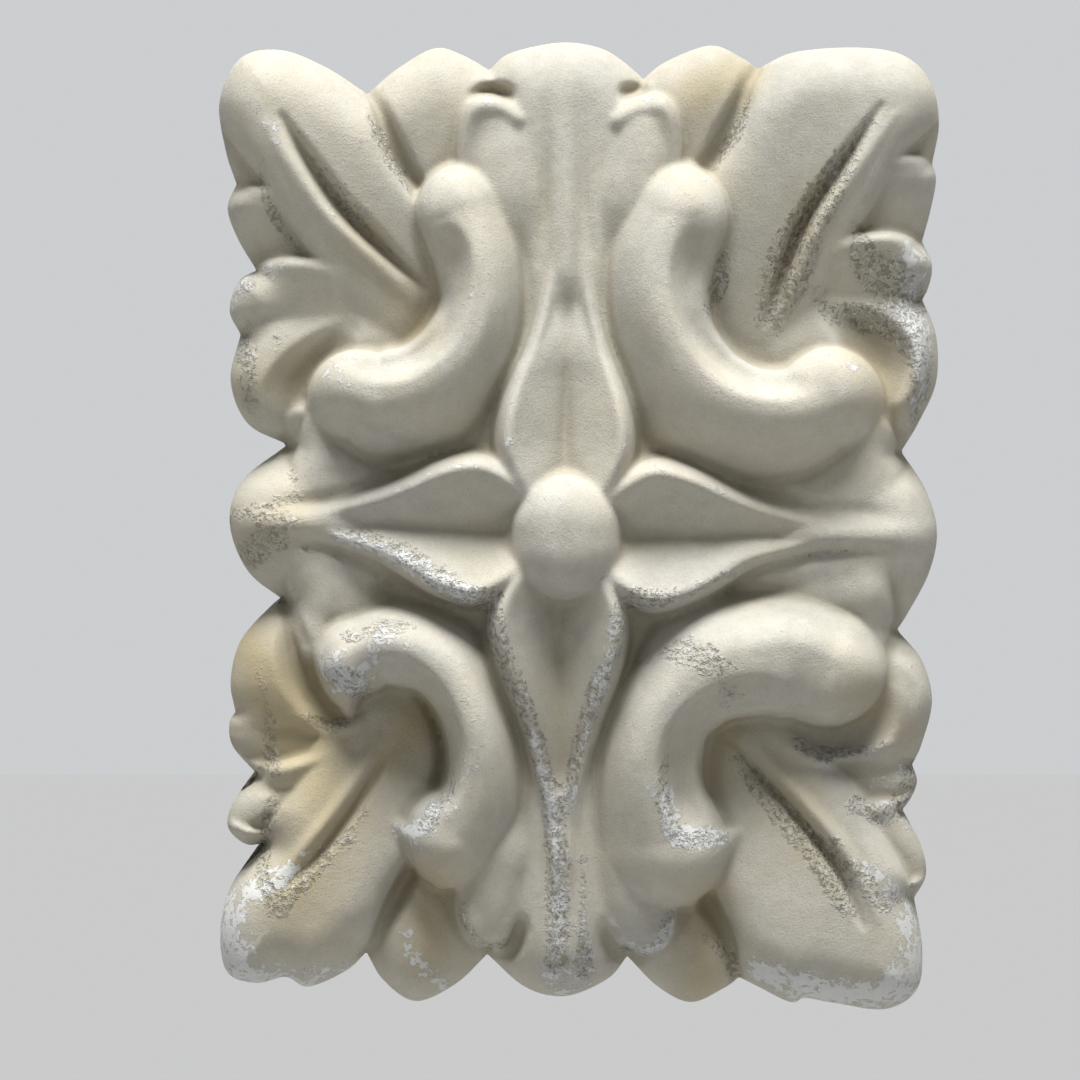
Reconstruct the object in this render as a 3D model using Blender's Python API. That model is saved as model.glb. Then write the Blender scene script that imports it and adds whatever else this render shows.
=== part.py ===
"""Gothic rosette, cast in stone as one piece with a flat back.

Four petals stand on a cross of leaf stalks round an egg-shaped boss. Between them lie four C-shaped
scrolls, and behind each scroll a corner leaf fans out to a scalloped edge. The front faces -Y, the
flat back lies at y = 0 and the long side is upright.
"""

import math

import bmesh
import bpy
import numpy as np

# Driving sizes, in metres.
WIDTH = 0.144
HEIGHT = 0.1934
DEPTH = 0.036
WALL = 0.007
EDGE_REACH = 0.012

# The carving is drawn in millimetres about the middle: x to the right, z up, and heights from the
# back. It is stretched to WIDTH, HEIGHT and DEPTH when it is laid out.
DRAWN_DEPTH = 36.0
DRAWN_STEP = 0.6
SOFTNESS = 0.5
FLOOR = 14.0
MARGIN = 3.0
PETAL_FOOT = 16.0
VALLEY_REACH = 1.7

# Sheet of quads that the front is pressed from, and the triangles left once it is thinned.
COLUMNS = 200
ROWS = 270
TRIANGLES = 9600
EVEN_STRETCH = 0.96
EDGE_HOLD = 5
EDGE_FORM = (2.6, 0.6)

# Outline, clockwise from the top left. Each lobe starts at its notch and ends at the next one.
LOBES = (
    ((-68.6, 68.4), (-70.8, 75.2), (-72, 85.2), (-67.8, 93.6), (-59.8, 95.2), (-50.8, 91.8)),
    ((-42.4, 86.4), (-36.8, 91.2), (-29.2, 95.5), (-23.8, 94.4)),
    ((-18, 91.2), (-13.8, 94.6), (-3.8, 96.7), (4.2, 95.6), (9.2, 92.6)),
    ((12.8, 89.4), (17.2, 92.8), (26.2, 96.1), (32.6, 93.6)),
    ((35.6, 91.4), (43.2, 94.8), (56.2, 95.7), (65.2, 94), (70.4, 88.6), (72, 80.8)),
    ((70.6, 72.4), (71.4, 69.2), (70.2, 62.8)),
    ((68.6, 57), (70.6, 52.2), (69.8, 47.6)),
    ((68.6, 45.4), (71.4, 38.2), (71.4, 28.8), (67.8, 20.6)),
    ((64.4, 15), (69.2, 7.6), (71.6, -0.8), (70, -9.2), (65.8, -17.2)),
    ((63.6, -20.6), (68.6, -26.8), (70.6, -34.8), (68.6, -43.2)),
    ((66.6, -47.6), (67.6, -50.8), (66.4, -54.2)),
    ((64.6, -56.6), (68.2, -63.2), (69.4, -69.4)),
    ((67, -74.2), (68.6, -83.8), (67.6, -92.4), (61.2, -96.4), (51.2, -95.2), (45.2, -94.2),
     (42.2, -95), (35.2, -91.6)),
    ((32, -90), (28.6, -92.4), (22.2, -95), (15.6, -91.8)),
    ((9.6, -85.8), (5.6, -90.4), (-2.8, -93.8), (-10.8, -92)),
    ((-18.4, -85.4), (-24.8, -91.4), (-32.8, -94.8), (-39.2, -90.6)),
    ((-42.6, -85), (-46.8, -88.8), (-54.2, -91.9), (-58.8, -90), (-64.8, -91.2), (-70.6, -88.8),
     (-71.8, -79.8), (-69.2, -70.8)),
    ((-62.8, -63.2), (-66.8, -63.4), (-70.4, -59.8), (-68.8, -54.2)),
    ((-64.4, -49.6), (-69.4, -43.8), (-70, -39)),
    ((-68.8, -37.2), (-69.8, -30.8), (-67.8, -22.8), (-61.8, -16)),
    ((-58.8, -15), (-66.4, -8.8), (-70, 0.8), (-67.4, 9.2)),
    ((-58.4, 16.4), (-66.4, 20.6), (-69.8, 29.2)),
    ((-67.8, 38.4), (-70, 43.2), (-68.2, 49)),
    ((-64.6, 51.2), (-68.4, 57.6), (-70.4, 63.6)),
)


def curve(points, per_span):
    """Smooth curve through the points, ends included (Catmull-Rom)."""
    nodes = np.asarray(points, float)
    nodes = np.vstack([2 * nodes[:1] - nodes[1:2], nodes, 2 * nodes[-1:] - nodes[-2:-1]])
    t = np.linspace(0, 1, per_span, endpoint=False)[:, None]
    spans = [
        0.5 * (2 * b + (c - a) * t + (2 * a - 5 * b + 4 * c - d) * t**2 + (3 * b - a - 3 * c + d) * t**3)
        for a, b, c, d in zip(nodes, nodes[1:], nodes[2:], nodes[3:])
    ]
    return np.vstack(spans + [nodes[-2:-1]])


def spread(values, count):
    """The values spread evenly and smoothly over count stations."""
    values = np.atleast_1d(np.asarray(values, float))
    if len(values) == 1:
        return np.full(count, values[0])
    fine = curve(values[:, None], 12)[:, 0]
    return np.interp(np.linspace(0, 1, count), np.linspace(0, 1, len(fine)), fine)


def swell(share, power, root):
    """One at share 0 and nought at share 1: a dome, a bell or a wedge by its two exponents."""
    return np.maximum(1 - np.minimum(share, 1) ** power, 0) ** root


def blend_up(a, b, width):
    """The higher of two surfaces, with the corner between them filled over the width."""
    if width <= 0:
        return np.maximum(a, b)
    t = np.clip(0.5 + 0.5 * (a - b) / width, 0, 1)
    return b + t * (a - b) + width * t * (1 - t)


class Relief:
    """Heights on a grid of drawing millimetres, built up and cut back by strokes along paths."""

    def __init__(self, reach_x, reach_z, step):
        self.step = step
        self.xs = np.arange(-reach_x, reach_x + step, step)
        self.zs = np.arange(-reach_z, reach_z + step, step)
        self.high = np.full((len(self.zs), len(self.xs)), FLOOR)

    def stroke(self, path, left, right):
        """Grid window of a stroke, with each point's share of the half-width, run and side."""
        line = curve(path, 10)
        count = len(line) - 1
        left, right = spread(left, count + 1), spread(right, count + 1)
        reach = max(left.max(), right.max())
        i0, i1 = np.searchsorted(self.xs, (line[:, 0].min() - reach, line[:, 0].max() + reach))
        j0, j1 = np.searchsorted(self.zs, (line[:, 1].min() - reach, line[:, 1].max() + reach))
        window = (slice(j0, j1), slice(i0, i1))
        px, pz = np.meshgrid(self.xs[i0:i1], self.zs[j0:j1])
        nearest, share = np.full(px.shape, np.inf), np.full(px.shape, 9.0)
        run, side = np.zeros(px.shape), np.zeros(px.shape)
        for i in range(count):
            (ax, az), (dx, dz) = line[i], line[i + 1] - line[i]
            size = dx * dx + dz * dz
            t = np.clip(((px - ax) * dx + (pz - az) * dz) / size, 0, 1)
            ex, ez = px - ax - t * dx, pz - az - t * dz
            far = np.hypot(ex, ez) + 1e-9
            turn = (dx * ez - dz * ex) / (far * math.sqrt(size))
            to_left = left[i] + t * (left[i + 1] - left[i])
            to_right = right[i] + t * (right[i + 1] - right[i])
            nearer = far < nearest
            nearest = np.where(nearer, far, nearest)
            part = far / (0.5 * (to_left + to_right) + 0.5 * (to_left - to_right) * turn)
            share = np.where(nearer, part, share)
            run = np.where(nearer, (i + t) / count, run)
            side = np.where(nearer, turn, side)
        return window, share, run, side

    def add(self, path, left, high, right=None, foot=FLOOR, form=(2, 0.5), form_right=None, soft=0.0):
        """Raise a rounded band along the path: half-widths left and right of it, and its heights."""
        right = left if right is None else right
        form_right = form if form_right is None else form_right
        window, share, run, side = self.stroke(path, left, right)
        power, root = (0.5 * (a + b) + 0.5 * (a - b) * side for a, b in zip(form, form_right))
        ridge = np.interp(run, np.linspace(0, 1, 97), spread(high, 97))
        band = foot + (ridge - foot) * swell(share, power, root)
        old = self.high[window]
        self.high[window] = np.where(share < 1, blend_up(old, band, soft), old)

    def cut(self, path, half, deep, form=(1.3, 1.0)):
        """Cut a groove along the path, by its half-widths and depths."""
        window, share, run, _ = self.stroke(path, half, half)
        depth = np.interp(run, np.linspace(0, 1, 97), spread(deep, 97))
        self.high[window] -= depth * swell(share, *form)

    def soften(self, reach):
        """Round every crease a little, as a mould and its wear do."""
        half = int(math.ceil(3 * reach / self.step))
        weights = np.exp(-0.5 * (np.arange(-half, half + 1) * self.step / reach) ** 2)
        weights /= weights.sum()
        for axis in (0, 1):
            size = self.high.shape[axis]
            pad = [(half, half) if a == axis else (0, 0) for a in (0, 1)]
            wide = np.pad(self.high, pad, mode="edge")
            rows = (w * np.take(wide, range(i, i + size), axis=axis) for i, w in enumerate(weights))
            self.high = sum(rows)

    def at(self, x, z):
        """Height at any point, between the four grid points round it."""
        i = np.clip((x - self.xs[0]) / self.step, 0, len(self.xs) - 1.001)
        j = np.clip((z - self.zs[0]) / self.step, 0, len(self.zs) - 1.001)
        i0, j0 = i.astype(int), j.astype(int)
        s, t = i - i0, j - j0
        low = self.high[j0, i0] * (1 - s) + self.high[j0, i0 + 1] * s
        top = self.high[j0 + 1, i0] * (1 - s) + self.high[j0 + 1, i0 + 1] * s
        return low * (1 - t) + top * t


def beside(path, shift):
    """The path moved sideways by the shift, or by shifts along it, to its left where positive."""
    line = curve(path, 3)
    way = np.gradient(line, axis=0)
    way /= np.hypot(way[:, 0], way[:, 1])[:, None]
    return line + spread(shift, len(line))[:, None] * np.column_stack((-way[:, 1], way[:, 0]))


def carve_under_lobes(relief):
    """Low lobes beside the top and bottom leaves, under the corner leaves."""
    for path, half in (
        (((-30, 62), (-30, 72), (-30.5, 84), (-30, 100)), (9, 13, 14, 13)),
        (((22, 64), (24, 74), (26, 84), (26, 101)), (10, 13, 14, 13)),
        (((-29, -66), (-30, -74), (-32, -84), (-32, -99)), (9, 12, 14, 13)),
        (((20, -68), (21, -76), (22, -84), (22, -100)), (10, 13, 14, 13)),
    ):
        relief.add(path, half, (14.5, 15.5, 16.5, 15), form=(2.4, 0.7), soft=1)


def carve_ground(relief):
    """The swelling of the ground under the flower and the scrolls."""
    for reach, half, high in (
        (42, (16, 31, 42, 31, 16), (20, 22, 23.5, 22, 20)),
        (63, (13, 22, 28, 22, 13), (19, 22, 23, 22, 19)),
    ):
        relief.add(((-3, -reach), (-3, 0), (-3, reach)), half, high, form=(2.2, 0.7), soft=1)


def carve_side_lobes(relief):
    """Three lobes down the side of each corner leaf. The outer two are hollowed from a rim that faces
    the corner, and each lies over the next one out."""
    for path, half, high in (
        (((-46, 31), (-58, 29), (-71, 28)), (13, 14, 13), (17.5, 18.5, 17)),
        (((50, 33), (60, 31), (73, 30)), (14, 16, 15), (17.5, 18.5, 17.5)),
        (((48, -34), (60, -33), (73, -33)), (12, 14, 13), (17, 18, 16.5)),
        (((-48, -27), (-60, -27), (-72, -28)), (12, 13, 12), (17, 18.5, 17)),
    ):
        relief.add(path, half, high, form=(2.4, 0.7), soft=1)
    rim, scoop = (2.6, 0.5), (1, 1.4)
    for path, edge, inside, high in (
        (((-56, 64.4), (-62, 65.8), (-68, 64.6), (-73, 60)), 2.2, (13, 13, 12, 10), (17, 19, 19, 18)),
        (((-50, 50.6), (-58, 51.4), (-65, 49.4), (-73, 44)), 2.2, (16, 18, 16, 14), (19, 20.5, 20.5, 19)),
        (((74, -52), (66, -55.6), (58, -56.4), (50, -54)), 2.2, (10, 12, 13, 12), (18, 19.5, 19.5, 18.5)),
        (((74, -70), (66, -72.4), (58, -72), (50, -68)), 2.2, (13, 15, 15, 14), (17.5, 19, 19, 18)),
    ):
        relief.add(path, inside, high, right=edge, form=scoop, form_right=rim, soft=0.5)
    for path, edge, inside, high in (
        (((54, 69.6), (60, 71.4), (66, 71.8), (74, 68.6)), 2.2, (15, 16, 16, 14), (18, 19, 19.5, 18.5)),
        (((50, 54.6), (57, 56.2), (64, 55.8), (74, 51)), 2.2, (14, 16, 15, 13), (19, 20.5, 20.5, 19)),
        (((-74, -44), (-67, -48.4), (-60, -48.8), (-50, -46)), 2.2, (12, 14, 14, 12), (18, 20, 20, 18.5)),
        (((-74, -58), (-67, -61.6), (-61, -61.8), (-52, -58)), 2.2, (12, 12, 12, 11), (17.5, 19, 19, 18)),
    ):
        relief.add(path, edge, high, right=inside, form=rim, form_right=scoop, soft=0.5)


def carve_scoops(relief):
    """Hollows in the inner side lobes, deepest beside the scrolls, and the rims round them."""
    for path, half, deep in (
        (((-46, 39), (-51, 33), (-56, 26), (-57, 19)), (3, 6, 7.5, 5), (1, 4.4, 4.4, 1)),
        (((50, 42), (56, 38), (60, 32), (61, 24)), (3, 6, 7.5, 5), (1, 4.6, 4.6, 1)),
        (((44, -38.6), (51, -40.6), (57, -38), (60, -31)), (3, 5, 6.5, 5), (1, 3.8, 3.6, 1)),
        (((-57, -18), (-55, -25), (-52, -32), (-46, -36.4)), (3.5, 6, 6, 3.5), (1, 4.2, 4.6, 2)),
        (((-68, -50.6), (-62.5, -51.8), (-57, -52)), (1.6, 1.8, 1), (1, 1.6, 0.3)),
    ):
        relief.cut(path, half, deep, form=(2, 1.3))
    for path, half, high in (
        (((40, -42.6), (47.2, -45.8), (53, -45.6), (62, -43.4)), 1.8, (0.3, 1.8, 1.8, 0.6)),
        (((-57, -37.8), (-51, -40.4), (-44, -38.4)), 1.8, (0.4, 2, 0.8)),
        (((66, 44), (67.6, 33), (64, 21)), 3, (0.6, 2.2, 1)),
        (((68, -40), (68.4, -32), (64, -24)), 3, (1, 1.8, 0.6)),
    ):
        relief.cut(path, half, [-lift for lift in high], form=(2, 1.5))


def carve_notches(relief):
    """A short crease from each notch of the outline towards the middle."""
    for lobe in LOBES:
        notch = np.array(lobe[0])
        inward = notch * (1 - 5 / np.hypot(*notch))
        relief.cut((notch, 0.5 * (notch + inward), inward), (1.6, 1.4, 1), (2.2, 1, 0), form=(1.4, 1.2))


def carve_creases(relief):
    """The groove at the foot of the step from each corner leaf to the under lobe beside it."""
    for path, away in (
        (((-42.4, 87), (-40.8, 81), (-38.2, 74.2), (-35, 68), (-32, 63.5)), 1),
        (((35.8, 92), (34, 85), (31.4, 79), (28.4, 73.5), (25.4, 69)), -1),
        (((-42.4, -86), (-41, -80), (-38.6, -74.5), (-36, -69), (-33, -64)), -1),
        (((32.2, -91), (31.6, -84), (29.8, -79), (27, -74), (24.6, -71)), 1),
    ):
        foot = beside(path, 1.7 * away)
        relief.cut(foot, (1.2, 2.2, 2.6, 2.6, 1.8), (0.5, 2.4, 3, 3, 1.5), form=(1.6, 1))


def carve_corner_leaves(relief):
    """A broad leaf in each corner: crisp where it overlaps the under lobe, falling to its side lobes."""
    crisp, gentle = (6, 0.5), (4, 0.6)
    high = (15, 19.5, 21.5, 22, 20)
    relief.add(((-27, 40), (-41, 57), (-49, 66), (-57, 78), (-67, 95)), (12, 12.8, 11, 11, 14), high,
               right=(15, 13.4, 14, 17.2, 22), form=gentle, form_right=crisp, soft=0.5)
    relief.add(((33, 36), (42, 56), (49, 68), (57, 81), (67, 96)), (16, 20.6, 21, 23.6, 28), high,
               right=(11, 10.8, 10.8, 11, 15), form=crisp, form_right=gentle, soft=0.5)
    relief.add(((-32, -36), (-42, -52), (-49, -61), (-57, -72), (-68, -90)),
               (19, 17.4, 15.8, 18.6, 23), high,
               right=(12, 14, 13, 11, 14), form=crisp, form_right=gentle, soft=0.5)
    relief.add(((25, -36), (38, -52), (46, -62), (54, -75), (63, -95)), (12, 13, 14, 13, 15), high,
               right=(21, 22.8, 22.8, 25, 30), form=gentle, form_right=crisp, soft=0.5)


def carve_veins(relief):
    """A groove down the middle of each corner leaf, with a raised lip on the side of its side lobes."""
    for path, lip, half, deep in (
        (((-59, 81), (-53.5, 72), (-47.5, 63.5), (-39.5, 55.5), (-30.5, 47)), -3.4, 2.4, 4.6),
        (((59.5, 83), (52, 72), (45, 61.5), (40.5, 51), (37, 40)), 3.2, 2, 4),
        (((-59, -72), (-52, -65), (-46, -57.5), (-41, -50), (-37.5, -43)), 3, 1.5, 2.8),
        (((56, -79), (50.5, -67), (43, -57.5), (36, -49.5), (29.5, -42)), -3.2, 1.8, 3.4),
    ):
        rising = np.array((0.2, 0.8, 1, 0.8, 0.2))
        relief.cut(beside(path, lip), 1.2 * half * rising**0.4, -1.4 * rising, form=(2, 1.5))
        relief.cut(path, half * rising**0.6, deep * rising)


def carve_middle_leaves(relief):
    """The leaf that runs out from the boss to the middle of each side, with its curled ears."""
    form = dict(form=(2.6, 0.6), soft=1)
    high = (22, 21.5, 20.5, 19.5, 18)
    relief.add(((-2, 30), (-2, 48), (-2, 64), (-3, 80), (-3, 101)), (12, 13, 15, 19, 19), high, **form)
    relief.add(((-3, -34), (-3, -52), (-3, -66), (-4, -80), (-4, -98)), (12, 12, 13, 17, 17), high, **form)
    relief.add(((-24, 0), (-38, 0), (-48, 0), (-59, 0), (-75, 0)), (11, 13, 15, 17, 17), high, **form)
    relief.add(((26, -2), (38, -2), (50, -2), (60, -3), (77, -4)), (11, 13, 16, 19, 18), high, **form)
    for path, half, top in (
        (((-46, 8), (-51.4, 13), (-54, 20)), (8, 6.5, 5), 20),
        (((-46, -8), (-52, -12), (-53.4, -17), (-52, -23)), (8, 6.5, 5.4, 4.4), 20),
        (((52, 8), (57, 13), (58, 19), (56, 25)), (8, 6.5, 5, 4), 20),
        (((52, -10), (57, -14), (59.4, -20)), (8, 6.5, 5), 20),
        (((-14.5, 62), (-15.8, 72), (-16.8, 78.6)), (7.5, 7.2, 6.2), 22.4),
        (((10, 62), (11.8, 72), (12.6, 79)), (7.5, 7.2, 6.2), 22.4),
        (((-15.4, -62), (-17, -70), (-17.8, -77.8)), (7, 6.4, 5), 21.8),
        (((9.4, -62), (11, -72), (11.4, -78.8)), (7.5, 6.8, 5.4), 21.8),
    ):
        relief.add(path, half, (top - 0.5, top, top - 1), form=(2.6, 0.6), soft=2)
    rim, slope = (2.4, 0.5), (1.6, 1)
    for path, outer, inner, high in (
        (((-21.4, 60), (-22.2, 72), (-21.6, 79.6), (-19.6, 83), (-16.6, 82.8), (-13, 80.6)),
         (3, 2.6, 2.2, 2, 1.8, 1.2), (12, 12, 9, 6, 4.5, 3), (19, 21, 22, 23, 23, 21.6)),
        (((16, -60), (17.2, -72), (17, -79), (14.6, -82.4), (11, -82.6), (6.8, -79.4)),
         (3, 2.6, 2.2, 2, 1.8, 1.2), (12, 12, 9, 6, 4.5, 3), (19, 21, 22, 22.5, 22, 20.5)),
    ):
        relief.add(path, outer, high, right=inner, form=rim, form_right=slope, soft=0.6)
    for path, outer, inner, high in (
        (((16.6, 60), (18, 72), (17.6, 80), (15.4, 83.4), (12.2, 83), (8.2, 80.4)),
         (3, 2.6, 2.2, 2, 1.8, 1.2), (12, 12, 9, 6, 4.5, 3), (19, 21, 22, 23, 23, 21.6)),
        (((-21, -60), (-22.6, -70), (-22.4, -77), (-20.4, -81.2), (-17.4, -81.4), (-14.2, -78.6)),
         (3, 2.6, 2.2, 2, 1.8, 1.2), (12, 12, 9, 6, 4.5, 3), (19, 21, 22, 22.5, 22, 20.5)),
    ):
        relief.add(path, inner, high, right=outer, form=slope, form_right=rim, soft=0.6)
    for path, half, deep in (
        (((-19, 86.6), (-16.6, 86.4), (-14, 85.2), (-12.2, 83)), (1.2, 2.2, 2, 1), (0.6, 5, 3.4, 0.3)),
        (((14, 87), (12, 86.8), (9.4, 85.4), (7.6, 83)), (1.2, 2, 1.8, 1), (0.6, 4.6, 3, 0.3)),
        (((-16.8, -86), (-13.6, -84), (-12, -80), (-11.4, -76.6)), (1.6, 2.2, 2, 1.2), (2, 5, 4, 0.3)),
        (((11.8, -86.6), (8, -85.6), (5.4, -82), (4.4, -78)), (1.6, 2.2, 2, 1.2), (2, 4.5, 3, 0.3)),
    ):
        relief.cut(path, half, deep, form=(1.8, 1))


def carve_folds(relief):
    """Faint folds where the side leaves turn under towards their notches."""
    for path in (
        ((-54.6, 24.4), (-57.6, 19), (-58.4, 13.6), (-57, 8.8)),
        ((60.4, 24), (61.6, 18), (60.6, 12.4), (57.6, 8.4)),
        ((62.6, -24), (61.8, -17), (61.6, -11)),
    ):
        relief.cut(path, (1.2, 1.8, 1.6, 1), (1, 1.5, 1, 0), form=(1.6, 1))


def carve_scrolls(relief):
    """Four C-shaped scrolls. Each path has the leaf's cup on its right."""
    form = dict(foot=17, form=(1.7, 1.1), form_right=(3, 0.5))
    high = (29, 31, 32, 32.5, 32.5, 31, 29)
    relief.add(((-22.6, 62.2), (-19.8, 52.8), (-18.4, 43.2), (-21.8, 34.8), (-29.4, 28.2), (-37.8, 25),
                (-44, 26)),
               (10, 10, 9, 12, 16, 13, 11), high, right=(10, 9.2, 9.8, 10, 9.3, 10, 9), **form)
    relief.add(((49.4, 24.6), (41.2, 22.4), (32.2, 23.6), (23.5, 28), (17.8, 35.6), (15.2, 44.2),
                (15.6, 52.8), (18.6, 60.8)),
               (11.5, 14, 17, 19, 14, 12, 12, 12), high,
               right=(11, 9, 8.6, 9.7, 10, 10.8, 11.2, 11), **form)
    relief.add(((15.2, -62.4), (13.2, -52.8), (13.2, -43.8), (16.6, -34.8), (24.2, -27.4), (33.2, -24),
                (42.2, -23.2), (49.2, -25.8)),
               (13.5, 12, 11, 11.5, 16, 12, 11, 11), high,
               right=(14.5, 12, 11.4, 11.2, 12.7, 14, 15.5, 14), **form)
    relief.add(((-45, -25), (-38.8, -22.4), (-31.8, -23.8), (-25.8, -28.4), (-21.4, -35.8), (-19.4, -44.8),
                (-20.2, -53.8), (-24, -61)),
               (7.5, 8, 10, 12, 9, 9, 10, 10.5), high, right=(9, 9.2, 9, 7.7, 7.2, 7.2, 8.4, 11), **form)
    for path, half, tip in (
        (((-26, -62.6), (-30, -61.6), (-33, -60.4), (-35.6, -58.8)), (9.4, 7.4, 4.2, 1.8), 21),
        (((20, -64.4), (24, -63.4), (27.6, -62), (30.6, -60.4)), (11, 8.6, 5, 2), 21),
        (((-44, -25.6), (-45.6, -28.6), (-46.2, -32), (-45.8, -35.6)), (8.4, 7.2, 4.8, 1.8), 21),
    ):
        relief.add(path, half, (28, 27, 25, tip), foot=17, form=(2, 0.7), soft=2)
    for path, half, deep in (
        (((-27, 59), (-25, 53), (-25, 46), (-27, 38.5), (-33, 33), (-41, 31)), (3, 4, 4, 3.5, 3.2, 3),
         (0.5, 4.2, 3.8, 3.2, 3, 0.4)),
        (((23, 59), (22, 52), (21.8, 45), (24.2, 37.2), (30.5, 30.5), (38, 28), (45, 28)),
         (3.5, 4.6, 4.6, 4, 3.6, 3.2, 3), (0.5, 4.2, 4.2, 3.8, 3.6, 3, 0.4)),
        (((23, -60), (20, -53), (19.2, -46), (21, -40.5), (26, -35.5), (34, -33), (41, -34)),
         (4, 4.6, 4.6, 4.4, 4.2, 4, 3), (0.5, 4.4, 4.4, 4, 3.4, 3, 0.4)),
        (((-42, -28.5), (-35, -28.6), (-29, -34), (-25.6, -43), (-26.5, -51), (-29, -55)),
         (3, 3.6, 3.6, 3.6, 3.6, 3), (0.4, 3, 3.4, 3.8, 3.6, 0.4)),
    ):
        relief.cut(path, half, deep, form=(2, 1.6))


def carve_petals(relief):
    """Each petal is two halves that slope from a ridge near the outer edge to a valley between them."""
    inward = (1.2, 1.5, 1.5, 1.2, 0.8, 0.4, 0.2, 0)
    outer, outer_form = (4.4, 5, 4.8, 4.4, 3.6, 2.8, 2.2), (2.2, 0.55)
    inner_form = (1.25, 1)
    high = (31, 32, 32.5, 31.5, 29, 26, 23, 20)
    left_inside = (
        (((3, 3.5), (6.4, 9.2), (8.4, 15.4), (7.9, 21.8), (6, 28.4), (3.6, 35.2), (1.4, 46), (-0.8, 62)),
         (10, 10.5, 10.8, 9.4, 7.2, 5, 3.6)),
        (((-9.6, -6), (-13.4, -11.8), (-15.7, -18), (-15.2, -24.4), (-12.8, -31.6), (-10, -39), (-7.4, -50),
          (-5, -62)), (11, 11.5, 11.8, 10.8, 8, 5, 3.6)),
        (((-9, 3), (-13.6, 8.8), (-19.6, 11.9), (-26.4, 10.8), (-33, 7.8), (-40, 5), (-48, 3), (-56, 1.6)),
         (12, 12.5, 11.8, 9.4, 7, 5, 3.5)),
        (((3, -6), (7.8, -11.6), (14, -14.6), (20.4, -13.2), (26.6, -9.9), (33.4, -6), (43, -3.8),
          (54, -2.6)),
         (12, 12, 11.2, 8.6, 5.4, 4, 3.2)),
    )
    right_inside = (
        (((-9, 3.5), (-12.4, 9.6), (-14.3, 16), (-13.6, 22.4), (-11.4, 29), (-8.6, 35.6), (-6, 46),
          (-4.6, 62)),
         (12, 12, 12.2, 10.6, 7.8, 5.2, 3.8)),
        (((2, -6.4), (5.4, -12), (7.1, -18), (6.6, -24.6), (4.8, -31.6), (2.4, -39), (-0.4, -50),
          (-1.8, -62)),
         (10, 10.6, 11, 10, 8, 5.2, 3.6)),
        (((-9.4, -4.6), (-14, -10), (-20.2, -13.1), (-27, -11.4), (-33.4, -7.6), (-40, -4), (-48, -1.8),
          (-56, -0.6)), (12, 12.5, 11.8, 9, 6.2, 4, 3)),
        (((4, 3), (8.6, 8), (14.6, 10.9), (21, 9.4), (27.4, 6.4), (34.4, 3.3), (43, 1), (54, -0.6)),
         (12, 12.5, 11.8, 9.6, 6.6, 4.4, 3.2)),
    )
    for path, inner in left_inside:
        relief.add(beside(path, inward), [VALLEY_REACH * width for width in inner], high, right=outer,
                   foot=PETAL_FOOT, form=inner_form, form_right=outer_form)
    for path, inner in right_inside:
        relief.add(beside(path, [-shift for shift in inward]), outer, high, foot=PETAL_FOOT,
                   right=[VALLEY_REACH * width for width in inner], form=outer_form, form_right=inner_form)


def carve_stalks(relief):
    """The ridge that runs on from each petal's point to the edge, and the valleys beside the level ones."""
    for path, half, high in (
        (((-2.4, 46), (-2.8, 58), (-3.1, 76), (-3.2, 101)), (1.5, 2.8, 3.2, 3), (16.5, 22, 20.5, 16)),
        (((-4.6, -50), (-4.8, -62), (-5, -76), (-5.4, -98)), (1.4, 2, 1.8, 1.6), (16.5, 22, 20, 16)),
        (((-1.8, -50), (-2, -62), (-2.2, -76), (-2.4, -98)), (1.4, 2, 1.8, 1.6), (16.5, 21.5, 19.5, 15.5)),
        (((-36, 0.7), (-46, 0.8), (-58, 0.7), (-74, 0.4)), (3, 4.4, 4.8, 4.4), (18, 22.5, 21.4, 18)),
        (((32, -1.4), (44, -1.6), (58, -1.8), (76, -2)), (3, 4.2, 5, 4.6), (18, 22.5, 21.4, 18)),
    ):
        relief.add(path, half, high, foot=16, form=(2, 0.8), soft=1)
    for path in (
        ((-62, 4.4), (-52, 5.2), (-46.6, 6.6), (-42.6, 8.6), (-38.6, 10.6), (-33, 13.4)),
        ((-58, -3.2), (-50, -3.8), (-45.6, -5.6), (-40.6, -8.2), (-35.6, -11.6), (-28, -16.4)),
        ((30, 9.4), (38, 6.8), (44, 5), (48, 3.8), (54, 3.2), (62, 2.8)),
        ((26, -15.4), (34, -9.4), (40, -6.8), (46, -5.4), (53, -4.6), (61, -4.4)),
    ):
        relief.cut(path, (1, 1.8, 2, 2, 1.6, 1), (0, 1, 1.2, 1.2, 0.8, 0), form=(1.6, 1))


def carve_boss(relief):
    """The egg-shaped boss in the middle, which stands highest."""
    relief.add(((-2.8, -3.6), (-2.8, -0.6)), 12.6, DRAWN_DEPTH, foot=22, form=(2.4, 0.5))


def carve():
    """The whole front, as a grid of heights."""
    reach = max(abs(v) for lobe in LOBES for point in lobe for v in point) + MARGIN
    relief = Relief(reach, reach, DRAWN_STEP)
    carve_ground(relief)
    carve_under_lobes(relief)
    carve_side_lobes(relief)
    carve_corner_leaves(relief)
    carve_scoops(relief)
    carve_veins(relief)
    carve_creases(relief)
    carve_middle_leaves(relief)
    carve_folds(relief)
    carve_scrolls(relief)
    carve_petals(relief)
    carve_stalks(relief)
    carve_boss(relief)
    carve_notches(relief)
    relief.soften(SOFTNESS)
    return relief


def drawn_outline():
    """The scalloped edge as a closed line of drawing millimetres."""
    ends = LOBES[1:] + LOBES[:1]
    return np.vstack([curve(lobe + (after[0],), 8)[:-1] for lobe, after in zip(LOBES, ends)])


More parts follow.
